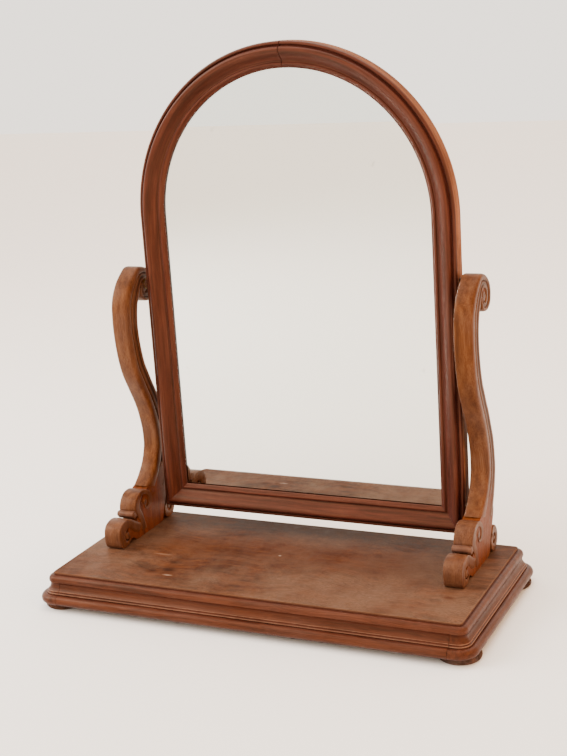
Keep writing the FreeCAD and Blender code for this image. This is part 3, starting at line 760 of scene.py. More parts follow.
        # The plane and the scraper leave ripples about 18 mm long.
        ripple = add(tree, "ShaderNodeTexNoise", {"Vector": shared.place, "Scale": 55.0, "Detail": 1.0})
        sunk = add(tree, "ShaderNodeMath", {0: shared.pores, 1: -0.5, 2: shared.fibres}, operation="MULTIPLY_ADD")
        relief = add(tree, "ShaderNodeBump", {"Height": sunk, "Distance": self.relief, "Strength": 0.5})
        waves = add(tree, "ShaderNodeBump", {
            "Height": ripple, "Distance": 0.4 * MM, "Strength": 0.25, "Normal": relief})
        tint = linear(self.varnish_tint)
        return add(tree, "ShaderNodeBsdfPrincipled", {
            "Base Color": colour, "Roughness": rough, "Normal": waves, "IOR": 1.5, "Specular IOR Level": self.gloss,
            "Specular Tint": tint, "Coat Tint": tint, "Coat Weight": self.coat, "Coat Roughness": 0.15})


@dataclass(frozen=True)
class Metal(Finish):
    """A plain metal with a little tarnish.

    Attributes:
        bright: Colour of the bare metal.
        tarnished: Colour of the tarnish.
        rough: Roughness of the bare metal.
    """
    bright: str
    tarnished: str
    rough: float = 0.3

    def surface(self, tree: Tree) -> Node:
        """Add the shader and the nodes that feed it.

        Args:
            tree: The material's nodes.

        Returns:
            The shader.
        """
        place = add(tree, "ShaderNodeTexCoord").outputs["Object"]
        # Tarnish lies in clouds about 5 mm wide.
        cloud = add(tree, "ShaderNodeTexNoise", {"Vector": place, "Scale": 200.0, "Detail": 4.0})
        colour = add(tree, "ShaderNodeValToRGB", {"Fac": cloud}, [
            (0.35, linear(self.tarnished)), (0.65, linear(self.bright))])
        rough = add(tree, "ShaderNodeMapRange", {
            "Value": cloud, "From Min": 0.3, "From Max": 0.7, "To Min": self.rough + 0.25, "To Max": self.rough})
        return add(tree, "ShaderNodeBsdfPrincipled", {"Base Color": colour, "Roughness": rough, "Metallic": 1.0})


@dataclass(frozen=True)
class Leather(Finish):
    """Sole leather, cut and pressed flat.

    Attributes:
        creases: Colour between the pebbles of its grain.
        pebbles: Colour of the pebbles.
    """
    creases: str
    pebbles: str

    def surface(self, tree: Tree) -> Node:
        """Add the shader and the nodes that feed it.

        Args:
            tree: The material's nodes.

        Returns:
            The shader.
        """
        place = add(tree, "ShaderNodeTexCoord").outputs["Object"]
        # The grain's pebbles are about 1 mm wide.
        grain = add(tree, "ShaderNodeTexVoronoi", {"Vector": place, "Scale": 900.0})
        colour = add(tree, "ShaderNodeValToRGB", {"Fac": grain}, [
            (0.1, linear(self.creases)), (0.7, linear(self.pebbles))])
        bump = add(tree, "ShaderNodeBump", {"Height": grain, "Distance": 0.1 * MM})
        return add(tree, "ShaderNodeBsdfPrincipled", {"Base Color": colour, "Roughness": 0.75, "Normal": bump})


@dataclass(frozen=True)
class Silvering(Finish):
    """The silver on the back of old plate glass, with faint foxing.

    Attributes:
        foxed: Colour of the specks where damp has reached the silver.
        bright: Colour of the sound silver.
    """
    foxed: str
    bright: str

    def surface(self, tree: Tree) -> Node:
        """Add the shader and the nodes that feed it.

        Args:
            tree: The material's nodes.

        Returns:
            The shader.
        """
        place = add(tree, "ShaderNodeTexCoord").outputs["Object"]
        foxing = add(tree, "ShaderNodeTexNoise", {"Vector": place, "Scale": 30.0, "Detail": 6.0, "Roughness": 0.7})
        colour = add(tree, "ShaderNodeValToRGB", {"Fac": foxing}, [
            (0.22, linear(self.foxed)), (0.34, linear(self.bright))])
        return add(tree, "ShaderNodeBsdfPrincipled", {"Base Color": colour, "Roughness": 0.0, "Metallic": 1.0})


@dataclass(frozen=True)
class PlateGlass(Finish):
    """Clear polished plate glass.

    Attributes:
        tint: The trace of green that iron leaves in it.
    """
    tint: str

    def surface(self, tree: Tree) -> Node:
        """Add the shader."""
        return add(tree, "ShaderNodeBsdfPrincipled", {
            "Base Color": linear(self.tint), "Roughness": 0.0, "IOR": 1.52, "Transmission Weight": 1.0})


@dataclass(frozen=True)
class Paper(Finish):
    """Matt background paper.

    Attributes:
        tint: Its colour.
    """
    tint: str

    def surface(self, tree: Tree) -> Node:
        """Add the shader."""
        return add(tree, "ShaderNodeBsdfPrincipled", {"Base Color": linear(self.tint), "Roughness": 0.9})


class Finishes:
    """Every finish of the object, each made into a material once."""

    # Frame: dark brown mahogany, French polished, so that light runs in long soft streaks on it; painted shade darkens
    # its downward faces.
    frame_wood = Wood("french_polished_mahogany", "30150f", "421c15", "4e271c", "4c2c25", "70463c",
                      streak=2.6 * MM, rough=0.38, gloss=0.24, coat=0.02, relief=0.012 * MM, fade=0.25,
                      wear=0.4, hollow_dirt_and_shade=0.55, underside_shade=0.5)
    # Outer edge and back of the frame: stained and only scraped, so matt and paler.
    frame_edge = Wood("stained_mahogany_scraped", "4a2615", "6e3f26", "855034", "7f5a40", "9a7050",
                      figure=Figure.PLAIN, streak=2.6 * MM, rough=0.62, gloss=0.12, coat=0.0, wear=0.3, hollow_dirt_and_shade=0.5)
    # Supports: the same wood cut across its rays and only waxed, so more orange.
    support_wood = Wood("waxed_quarter_sawn_mahogany", "3c1c08", "512b13", "5e391f", "5d4338", "7b5d53",
                        figure=Figure.PLAIN, streak=4.0 * MM, rough=0.40, gloss=0.18, coat=0.03, fade=0.5, wear=0.5,
                        hollow_dirt_and_shade=0.85)
    # Their recessed fields: the same wood, a deeper orange and a little darker than the raised bands.
    support_field = Wood("waxed_quarter_sawn_mahogany_field", "3d1503", "552105", "692d0b", "673d18", "85491e",
                         figure=Figure.PLAIN, streak=4.0 * MM, rough=0.50, coat=0.0, wear=0.2, hollow_dirt_and_shade=0.9)
    # Mouldings of the base: waxed, a little dusty, and rubbed by hands and cloths, so their edges are pale; their
    # hollows carry grime and painted shade, and their downward faces painted shade.
    moulding_wood = Wood("waxed_mahogany_moulding", "270d06", "401a0c", "4d2616", "4f2f26", "84604c",
                         figure=Figure.PLAIN, gloss=0.20, coat=0.03, fade=0.5, wear=1.0,
                         soil_and_shade="31120a", hollow_dirt_and_shade=0.9, underside_shade=0.9)
    # Top: flame veneer bleached by the sun to grey-brown, with its polish nearly gone, so hardly any shine.
    veneer = Wood("sun_bleached_flame_mahogany_veneer", "291408", "452312", "593119", "644a3a", "785537",
                  figure=Figure.FLAME, streak=4.0 * MM, rough=0.50, gloss=0.06, coat=0.0, fade=0.85, wear=0.3, hollow_dirt_and_shade=0.5,
                  # The first mark is a painted shadow and painted reflection: a dark band along the back of the top,
                  # beneath the frame.
                  marks=(Mark(0.0, 0.128, 0.360, 0.066, "1f110a", 0.85),
                         Mark(0.180, 0.020, 0.080, 0.060, "3b1f10", 0.45),
                         Mark(0.020, 0.030, 0.190, 0.060, "4b2613", 0.45),
                         Mark(-0.150, 0.010, 0.070, 0.040, "54290a", 0.40),
                         Mark(-0.164, -0.088, 0.010, 0.006, "261007", 0.75),
                         Mark(-0.143, -0.079, 0.013, 0.007, "220e07", 0.80),
                         Mark(-0.136, -0.096, 0.008, 0.0025, "8f7666", 0.70),
                         Mark(-0.180, -0.029, 0.017, 0.0025, "7e614e", 0.60),
                         Mark(-0.012, 0.011, 0.0024, 0.0020, "a4907e", 0.85),
                         Mark(0.262, -0.061, 0.010, 0.005, "351307", 0.60)))
    # Feet: turned, never polished below and grey with dust, so matt.
    foot_wood = Wood("turned_mahogany_dusty", "44291f", "5f3d32", "704c41", "7c6155", "927769",
                     figure=Figure.PLAIN, rough=0.50, coat=0.0, fade=0.6, wear=0.5, hollow_dirt_and_shade=0.5)
    # Pine: planed and never finished, so matt and pale, with yellow-brown late wood.
    pine_x = Wood("planed_pine_lengthwise", "8a6236", "b08c58", "c4a26e", "a98f68", "cdb284", "6b4a28",
                  plank=Plank.ALONG_X, figure=Figure.PLAIN, streak=2.2 * MM, rough=0.62, coat=0.0)
    pine_y = replace(pine_x, name="planed_pine_front_to_back", plank=Plank.ALONG_Y)
    # Brass of the pivots: turned and lacquered long ago, so dull yellow with brown clouds.
    brass = Metal("dull_lacquered_brass", "b08d4a", "7c6134")
    # Steel of the screws: turned and never plated, so grey with dark spots.
    steel = Metal("turned_steel", "8d8b88", "5c5752", 0.4)
    # Leather of the washers: tanned with bark and pressed flat, so brown and matt with a fine pebbled grain.
    leather = Leather("vegetable_tanned_sole_leather", "3c2113", "5c3820")
    # Silver on the back of the plate: bright, with faint specks where damp has reached it.
    silvering = Silvering("silvered_plate_glass", "cfd0c9", "f4f5f3")
    # The plate: ground and polished flat, so clear, with a trace of green.
    glass = PlateGlass("clear_plate_glass", "f9fcfa")
    # The studio floor: uncoated paper, so pale and without shine.
    paper = Paper("matt_paper_pale", "f3f1ee")

    def __init__(self) -> None:
        """Start with no material made."""
        self.made: dict[str, bpy.types.Material] = {}

    def material(self, finish: Finish) -> bpy.types.Material:
        """Return the material of a finish, made on its first use.

        Args:
            finish: The finish.

        Returns:
            Its material.
        """
        if finish.name not in self.made:
            self.made[finish.name] = finish.build()
        return self.made[finish.name]

    def dress(self, piece: Piece, *finishes: Finish) -> None:
        """Give a new piece its materials in order.

        Args:
            piece: The piece.
            *finishes: Its finishes, the one for most of its faces first.
        """
        piece.data.materials.clear()
        for finish in finishes:
            piece.data.materials.append(self.material(finish))

    def dress_nodes(self, finish: Finish, *nodes: str) -> None:
        """Give construction nodes their material.

        Args:
            finish: The finish.
            *nodes: The nodes' names.
        """
        for node in nodes:
            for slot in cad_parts[node].material_slots:
                slot.material = self.material(finish)


@dataclass
class Assembly:
    """What every sub-assembly shares: its finishes and how a piece is handed over.

    Attributes:
        finishes: The finishes that its pieces are dressed with.
        body: The body that its pieces ride on.
    """
    finishes: Finishes
    body: ClassVar[str] = "base"

    def hand_over(self, piece: Piece, slot: str, *nodes: str, body: Optional[str] = None) -> None:
        """Fix a piece to its body, in place of the construction nodes it stands for.

        Args:
            piece: The finished piece.
            slot: Not used.
            *nodes: The nodes that it replaces.
            body: The body it rides on, if not the assembly's own.
        """
        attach(piece, body or self.body)
        if nodes:
            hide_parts(*nodes)
        LOG.info("%s: %d faces", piece.name, len(piece.data.polygons))


# ---------------------------------------------------------------- base
@dataclass
class Base(Assembly):
    """The low base: top board, moulded frieze with the drawer front in it, and bun feet.

    Lengths are in metres. A reach is measured outwards from the raised middle of the top.
    """
    body: ClassVar[str] = "base"
    # The top board, and the corner of its raised middle as seen from above.
    plan_radius: float = 6.0 * MM
    ledge: float = 1.2 * MM
    ovolo: float = 6.3 * MM
    board: float = 8.5 * MM
    # The frieze, from its underside up.
    torus_radius: float = 7.2 * MM
    torus_centre: float = 13.5 * MM
    torus_end: float = 108.0
    quirk: Point = (0.4 * MM, 0.45 * MM)
    bead_foot: Point = (0.6 * MM, 0.5 * MM)
    bead_height: float = 1.7 * MM
    bead_swell: float = 0.5 * MM
    flare_reach: float = 10.1 * MM
    flare_rise: float = 1.4 * MM
    flare_height: float = 1.0 * MM
    flare_quirk: float = 1.6 * MM
    cove_reach: float = 5.9 * MM
    cove: tuple[Point, ...] = ((0.0, 0.0), (0.15, 0.42), (0.35, 0.80), (0.60, 1.0), (0.78, 0.95), (0.92, 0.78),
                               (1.0, 0.63))
    # How far the back of each piece lies inside the raised middle, and the room round the drawer front.
    rail_inset: float = 14.0 * MM
    strip_inset: float = 4.0 * MM
    front_inset: float = 8.0 * MM
    gap: float = 0.2 * MM
    # The feet: the share of its height that one bulges by, and the hole for its screw.
    foot_swell: float = 0.47
    foot_hole: float = 4.7 * MM
    foot_ease: float = 0.07 * MM
    ease: float = 0.35 * MM
    corner_steps: int = 10
    top: Box = field(default_factory=lambda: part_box("top_board"))
    rail: Box = field(default_factory=lambda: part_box("side_rail_right"))

    @property
    def half_x(self) -> float:
        """Half the width of the raised middle."""
        return self.top[1].x - self.ledge - self.ovolo

    @property
    def half_y(self) -> float:
        """Half the depth of the raised middle."""
        return self.top[1].y - self.ledge - self.ovolo

    @property
    def inner(self) -> Vector:
        """The inner back corner of the frieze, seen from above."""
        return Vector((self.half_x - self.rail_inset, self.half_y - self.rail_inset, 0))

    def build(self) -> None:
        """Build and dress every piece of the base."""
        self.top_board()
        self.side_rails()
        self.back_rail()
        self.drawer_front()
        self.feet()
        self.finishes.dress_nodes(Finishes.pine_x, "bottom_board", "drawer_stops", "drawer_back", "drawer_bottom")
        self.finishes.dress_nodes(Finishes.pine_y, "drawer_runner_left", "drawer_runner_right",
                                  "drawer_side_left", "drawer_side_right")

    def top_board(self) -> None:
        """Build the top: a board with an ovolo edge, a ledge and a raised middle."""
        low, high = self.top
        rim = low.z + self.board
        deselect()
        bpy.ops.mesh.primitive_cube_add(size=1.0, location=(0, 0, 0))
        piece = bpy.context.object
        piece.name = "figured_top"
        bpy.ops.object.mode_set(mode="EDIT")
        bpy.ops.mesh.select_all(action="SELECT")
        bpy.ops.transform.resize(value=(high.x - low.x, high.y - low.y, self.board))
        bpy.ops.transform.translate(value=(0, 0, low.z + self.board / 2))
        select_edges(piece, lambda a, b: abs(a.z - b.z) > self.board / 2)
        bpy.ops.mesh.bevel(offset=self.plan_radius + self.ledge + self.ovolo, segments=self.corner_steps,
                           affect="EDGES")
        select_edges(piece, lambda a, b: min(a.z, b.z) > rim - NEAR and self.on_rim((a + b) / 2))
        bpy.ops.mesh.bevel(offset=self.ovolo, segments=8, affect="EDGES")
        select_faces(piece, lambda c, n: n.z > 0.99 and c.z > rim - NEAR and c.xy.length < self.half_y)
        bpy.ops.mesh.inset(thickness=self.ledge)
        run(Vector((0, 0, high.z - rim)))
        for _ in range(2):
            bpy.ops.mesh.inset(thickness=self.plan_radius / 3)
        select_edges(piece, lambda a, b: min(a.z, b.z) > high.z - NEAR and self.on_panel((a + b) / 2))
        bpy.ops.mesh.bevel(offset=self.ease, segments=2, affect="EDGES")
        close_up(piece)
        lay_grain(piece, along(0))
        self.finishes.dress(piece, Finishes.veneer, Finishes.moulding_wood)
        for face in piece.data.polygons:
            face.material_index = 0 if face.center.z > high.z - 3 * NEAR else 1
        self.hand_over(piece, "top_wood", "top_board")

    def on_rim(self, place: Vector) -> bool:
        """Tell whether an edge of the top board lies on its outer rim.

        Args:
            place: The middle of the edge.

        Returns:
            Whether it does.
        """
        high = self.top[1]
        corner = self.plan_radius + self.ledge + self.ovolo
        straight = abs(abs(place.x) - high.x) < NEAR or abs(abs(place.y) - high.y) < NEAR
        return straight or (abs(place.x) > high.x - corner and abs(place.y) > high.y - corner)

    def on_panel(self, place: Vector) -> bool:
        """Tell whether an edge of the top board lies on the rim of its raised middle.

        Args:
            place: The middle of the edge.

        Returns:
            Whether it does.
        """
        straight = abs(place.x) > self.half_x - 2 * NEAR or abs(place.y) > self.half_y - 2 * NEAR
        corner = Vector((abs(place.x) - self.half_x + self.plan_radius, abs(place.y) - self.half_y + self.plan_radius))
        return straight or (min(corner) > 0 and corner.length > self.plan_radius - 3 * NEAR)

    def frieze(self, place: Place, inner: float, lift: float = 0.0, drop: float = 0.0) -> list[Vector]:
        """Return the outline of the frieze: torus, quirk, thin bead, and a cove that flares out above it.

        Args:
            place: Turns a reach and a height into a point.
            inner: The reach of the back of the piece.
            lift: How far the underside is raised.
            drop: How far the top is lowered.

        Returns:
            The outline's points.
        """
        low, high = self.rail[0].z, self.rail[1].z
        radius, turn = self.torus_radius, math.radians(self.torus_end)
        end = (self.torus_centre + radius * math.cos(turn), low + radius * (1 + math.sin(turn)))
        quirk = (end[0] - self.quirk[0], end[1] + self.quirk[1])
        bead = (quirk[0] + self.bead_foot[0], quirk[1] + self.bead_foot[1])
        bead_top = (bead[0] - self.bead_swell / 2, bead[1] + self.bead_height)
        flare = bead_top[1] + self.flare_rise
        foot = flare + self.flare_height
        start = (self.torus_centre, low + lift)
        points = [(inner, low + lift), start]
        points += arc(start, (self.torus_centre + radius, low + radius), end, steps=18)
        points += [quirk, bead]
        points += arc(bead, (bead[0] + self.bead_swell, bead[1] + self.bead_height / 2), bead_top, steps=5)
        points += [(bead_top[0] - self.flare_quirk, bead_top[1] + self.flare_rise / 2), (self.flare_reach, flare)]
        points += smooth([(self.flare_reach - deep * (self.flare_reach - self.cove_reach), foot + up * (high - foot))
                          for up, deep in self.cove], steps=3)
        points = [(out, min(up, high - drop)) for out, up in points] + [(inner, high - drop)]
        return [place(*p) for p in eased(points, self.ease, crisp=(1, 2))]

    def corner(self, side_x: int, side_y: int) -> Vector:
        """Return the centre of a rounded corner of the base, seen from above."""
        return Vector((side_x * (self.half_x - self.plan_radius), side_y * (self.half_y - self.plan_radius), 0))

    def round_corner(self, centre: Vector) -> None:
        """Carry the selected end of a moulding round a corner, clockwise as seen from above."""
        bpy.ops.mesh.spin(steps=self.corner_steps, angle=math.pi / 2, center=centre, axis=Z_AXIS)

    def strip_behind(self, piece: Piece, *plan: Point) -> Piece:
        """Build the plain strip behind a moulding and join them.

        Args:
            piece: The moulding.
            *plan: The strip's outline, seen from above.

        Returns:
            The moulding with its strip.
        """
        low, high = self.rail
        strip = draw_outline("strip", [Vector((x, y, low.z)) for x, y in plan])
        run(Vector((0, 0, high.z - low.z)))
        return join([piece, close_up(strip)], piece.name)

    def side_rails(self) -> None:
        """Build the side rails, each with its front return."""
        inner, back, bend = self.inner, self.corner(1, 1), self.corner(1, -1)
        outer, wide = self.half_x - self.strip_inset, self.rail_inset - self.strip_inset
        piece = draw_outline("side_frieze_right", self.frieze(
            lambda u, v: Vector((back.x, self.half_y + u, v)), HAIR - self.plan_radius))
        self.round_corner(back)
        run(bend - back)
        self.round_corner(bend)
        run(Vector((inner.x - bend.x, 0, 0)))
        saw(inner, Vector((-1, 1, 0)))
        close_up(piece)
        piece = self.strip_behind(piece, (inner.x, bend.y), (outer, bend.y), (outer, inner.y + wide),
                                  (inner.x, inner.y))
        lay_grain(piece, along(1, 0.3))
        self.finishes.dress(piece, Finishes.moulding_wood)
        other = mirror_copy(piece, "side_frieze_left")
        self.hand_over(piece, "base_wood", "side_rail_right")
        self.hand_over(other, "base_wood", "side_rail_left")

    def back_rail(self) -> None:
        """Build the back rail, mitred into the side rails."""
        inner, left, right = self.inner, self.corner(-1, 1), self.corner(1, 1)
        outer, wide = self.half_y - self.strip_inset, self.rail_inset - self.strip_inset
        piece = draw_outline("back_frieze", self.frieze(
            lambda u, v: Vector((-self.half_x - u, left.y, v)), HAIR - self.plan_radius))
        self.round_corner(left)
        run(right - left)
        self.round_corner(right)
        for side in (-1, 1):
            saw(Vector((side * inner.x, inner.y, 0)), Vector((side, -1, 0)))
        close_up(piece)
        piece = self.strip_behind(piece, (-inner.x, inner.y), (inner.x, inner.y), (inner.x + wide, outer),
                                  (-inner.x - wide, outer))
        lay_grain(piece, along(0, 0.7))
        self.finishes.dress(piece, Finishes.moulding_wood)
        self.hand_over(piece, "base_wood", "back_rail")

    def drawer_front(self) -> None:
        """Build the drawer front, which carries the frieze across the base."""
        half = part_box("drawer_front")[1].x
        piece = draw_outline("drawer_frieze", self.frieze(
            lambda u, v: Vector((-half, -self.half_y - u, v)), -self.front_inset, self.gap, self.gap))
        run(Vector((2 * half, 0, 0)))
        close_up(piece)
        lay_grain(piece, along(0, 1.1))
        self.finishes.dress(piece, Finishes.moulding_wood)
        self.hand_over(piece, "base_wood", "drawer_front", body="drawer")

    def feet(self) -> None:
        """Turn the four flattened bun feet."""
        for name in ("foot_front_right", "foot_front_left", "foot_back_right", "foot_back_left"):
            low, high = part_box(name)
            centre, radius, height = (low + high) / 2, (high.x - low.x) / 2, high.z - low.z
            flat = radius - self.foot_swell * height
            profile = [(self.foot_hole, 0.0), (flat, 0.0)]
            profile += arc(profile[-1], (radius, height / 2), (flat, height), steps=12)
            profile.append((self.foot_hole, height))
            piece = draw_outline(f"bun_{name}", [Vector((centre.x + u, centre.y, low.z + v)) for u, v in profile])
            bpy.ops.mesh.spin(steps=64, angle=math.tau, center=Vector((centre.x, centre.y, 0)), axis=Z_AXIS)
            close_up(piece, self.foot_ease)
            lay_grain(piece, along(0, centre.x + centre.y))
            self.finishes.dress(piece, Finishes.foot_wood)
            self.hand_over(piece, "base_wood", name)


# ---------------------------------------------------------------- framed glass
@dataclass
class FramedGlass(Assembly):
    """The arched frame in five pieces, the silvered plate and the board behind it.

    Lengths are in metres. The points of the section are shares: of the frame's width, from the inner
    bead outwards, and of the cushion's rise, from the inner bead's front edge forwards.
    """
    body: ClassVar[str] = "mirror"
    width: float = 32.5 * MM
    rise: float = 12.0 * MM
    lip: float = 3.8 * MM
    bead: tuple[Point, ...] = ((0.05, 0.12), (0.12, 0.06))
    quirk: Point = (0.14, -0.02)
    cushion: tuple[Point, ...] = ((0.19, 0.02), (0.28, 0.22), (0.40, 0.55), (0.53, 0.86), (0.66, 1.0),
                                  (0.75, 0.86), (0.785, 0.42))
    groove: tuple[Point, ...] = ((0.81, 0.30), (0.84, 0.36))
    band: tuple[Point, ...] = ((0.91, 0.52), (0.98, 0.36))
    rim: Point = (1.0, 0.22)
    back: float = 19.0 * MM
    back_edge: float = 1.0 * MM
    glass_setback: float = 3.0 * MM
    glass_thickness: float = 4.0 * MM
    glass_cover: float = 3.0 * MM
    silver_gap: float = 0.3 * MM
    board_cover: float = 10.0 * MM
    crown_gap: float = 0.55 * MM
    crown_lip: float = 1.2 * MM
    ease: float = 0.3 * MM
    arch_steps: int = 56
    arch: Box = field(default_factory=lambda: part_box("frame_arch_right"))
    rail: Box = field(default_factory=lambda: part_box("frame_bottom_rail"))
    glass: Box = field(default_factory=lambda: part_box("mirror_glass"))

    @property
    def sight(self) -> float:
        """Half the width between the inner beads, and the radius of the arch there."""
        return self.arch[1].x - self.width

    @property
    def plane(self) -> float:
        """Where the front edge of the inner bead lies, front to back."""
        return self.arch[1].y - self.back

    @property
    def spring(self) -> float:
        """Height of the centre of the arch."""
        return self.arch[0].z

    @property
    def bottom(self) -> float:
        """Height of the inner bead at the foot of the frame."""
        return self.rail[0].z + self.width

    def build(self) -> None:
        """Build and dress every piece of the framed glass."""
        self.stiles()
        self.arches()
        self.bottom_rail()
        self.plate()
        self.finishes.dress_nodes(Finishes.pine_x, "backboard", "frame_dowels")

    def section(self, place: Place) -> list[Vector]:
        """Return the frame's section: lip, narrow bead, broad cushion, groove and band, with its rebates.

        Args:
            place: Turns a distance outside the inner bead and a place front to back into a point.

        Returns:
            The outline's points.
        """
        def at(share: Point) -> Point:
            """Return a point of the section in metres."""
            return share[0] * self.width, self.plane - share[1] * self.rise

        glass, back = self.plane + self.glass_setback, self.plane + self.back
        behind = glass + self.glass_thickness
        points = [(-self.lip, glass), (0.0, self.plane)]
        points += arc(points[-1], *map(at, self.bead), steps=5)
        points.append(at(self.quirk))
        points += smooth(list(map(at, self.cushion)), steps=4)
        points += map(at, self.groove)
        points += arc(points[-1], *map(at, self.band), steps=6)
        points += [at(self.rim), (self.width, back - self.back_edge), (self.width - self.back_edge, back),
                   (self.board_cover, back), (self.board_cover, behind), (self.glass_cover, behind),
                   (self.glass_cover, glass)]
        return [place(*p) for p in eased(points, self.ease)]

    def dress_wood(self, piece: Piece, out: Callable[[Vector], float]) -> None:
        """Polish the front of a piece, and leave its outer edge and its back scraped.

        Args:
            piece: The piece.
            out: Tells how far a point lies outside the inner bead.
        """
        self.finishes.dress(piece, Finishes.frame_wood, Finishes.frame_edge)
        for face in piece.data.polygons:
            edge = out(face.center) > self.width - self.ease or face.center.y > self.plane + self.glass_setback
            face.material_index = 1 if edge else 0

    def stiles(self) -> None:
        """Build the two upright stiles, mitred at the foot."""
        foot = self.rail[0].z
        piece = draw_outline("stile_right", self.section(lambda u, v: Vector((self.sight + u, v, foot))))
        run(Vector((0, 0, self.spring - foot)))
        saw(Vector((self.sight, 0, self.bottom)), Vector((-1, 0, -1)))
        close_up(piece)
        lay_grain(piece, along(2))
        self.dress_wood(piece, lambda co: co.x - self.sight)
        other = mirror_copy(piece, "stile_left")
        self.hand_over(piece, "frame_wood", "frame_stile_right")
        self.hand_over(other, "frame_wood", "frame_stile_left")

    def arches(self) -> None:
        """Build the two halves of the arch, which butt together at the crown."""
        centre = Vector((0, 0, self.spring))
        piece = draw_outline("arch_right", self.section(lambda u, v: Vector((self.sight + u, v, self.spring))))
        bpy.ops.mesh.spin(steps=self.arch_steps, angle=math.pi / 2 - self.crown_gap / self.sight, center=centre,
                          axis=Y_AXIS)
        # The joint at the crown has opened a little: a dark groove, with wood behind it.
        bpy.ops.mesh.inset(thickness=self.crown_lip)
        run(Vector((-self.crown_gap, 0, 0)))
        bpy.ops.transform.resize(value=(0, 1, 1), center_override=(0, 0, 0))
        close_up(piece)
        lay_grain(piece, round_arch(centre, self.sight + self.width / 2))
        self.dress_wood(piece, lambda co: math.hypot(co.x, co.z - self.spring) - self.sight)
        other = mirror_copy(piece, "arch_left")
        self.hand_over(piece, "frame_wood", "frame_arch_right")
        self.hand_over(other, "frame_wood", "frame_arch_left")

    def bottom_rail(self) -> None:
        """Build the bottom rail, mitred at both ends."""
        half = self.rail[1].x
        piece = draw_outline("frame_foot_rail", self.section(lambda u, v: Vector((-half, v, self.bottom - u))))
        run(Vector((2 * half, 0, 0)))
        for side in (-1, 1):
            saw(Vector((side * self.sight, 0, self.bottom)), Vector((side, 0, 1)))
        close_up(piece)
        lay_grain(piece, along(0, 0.5))
        self.dress_wood(piece, lambda co: self.bottom - co.z)
        self.hand_over(piece, "frame_wood", "frame_bottom_rail")

    def plate(self) -> None:
        """Build the arched plate: clear glass in front, silvering on its back."""
        low, high = self.glass
        radius, spring = high.x, self.spring
        outline = [(-radius, low.z), (radius, low.z), (radius, spring)]
        outline += arc(outline[-1], (0.0, spring + radius), (-radius, spring), steps=96)
        piece = draw_outline("looking_glass", [Vector((x, low.y, z)) for x, z in outline])
        run(Vector((0, high.y - self.silver_gap - low.y, 0)))
        close_up(piece)
        self.finishes.dress(piece, Finishes.glass, Finishes.silvering)
        for face in piece.data.polygons:
            face.use_smooth = False
            face.material_index = 1 if face.normal.y > 0.9 else 0
        self.hand_over(piece, "mirror", "mirror_glass")


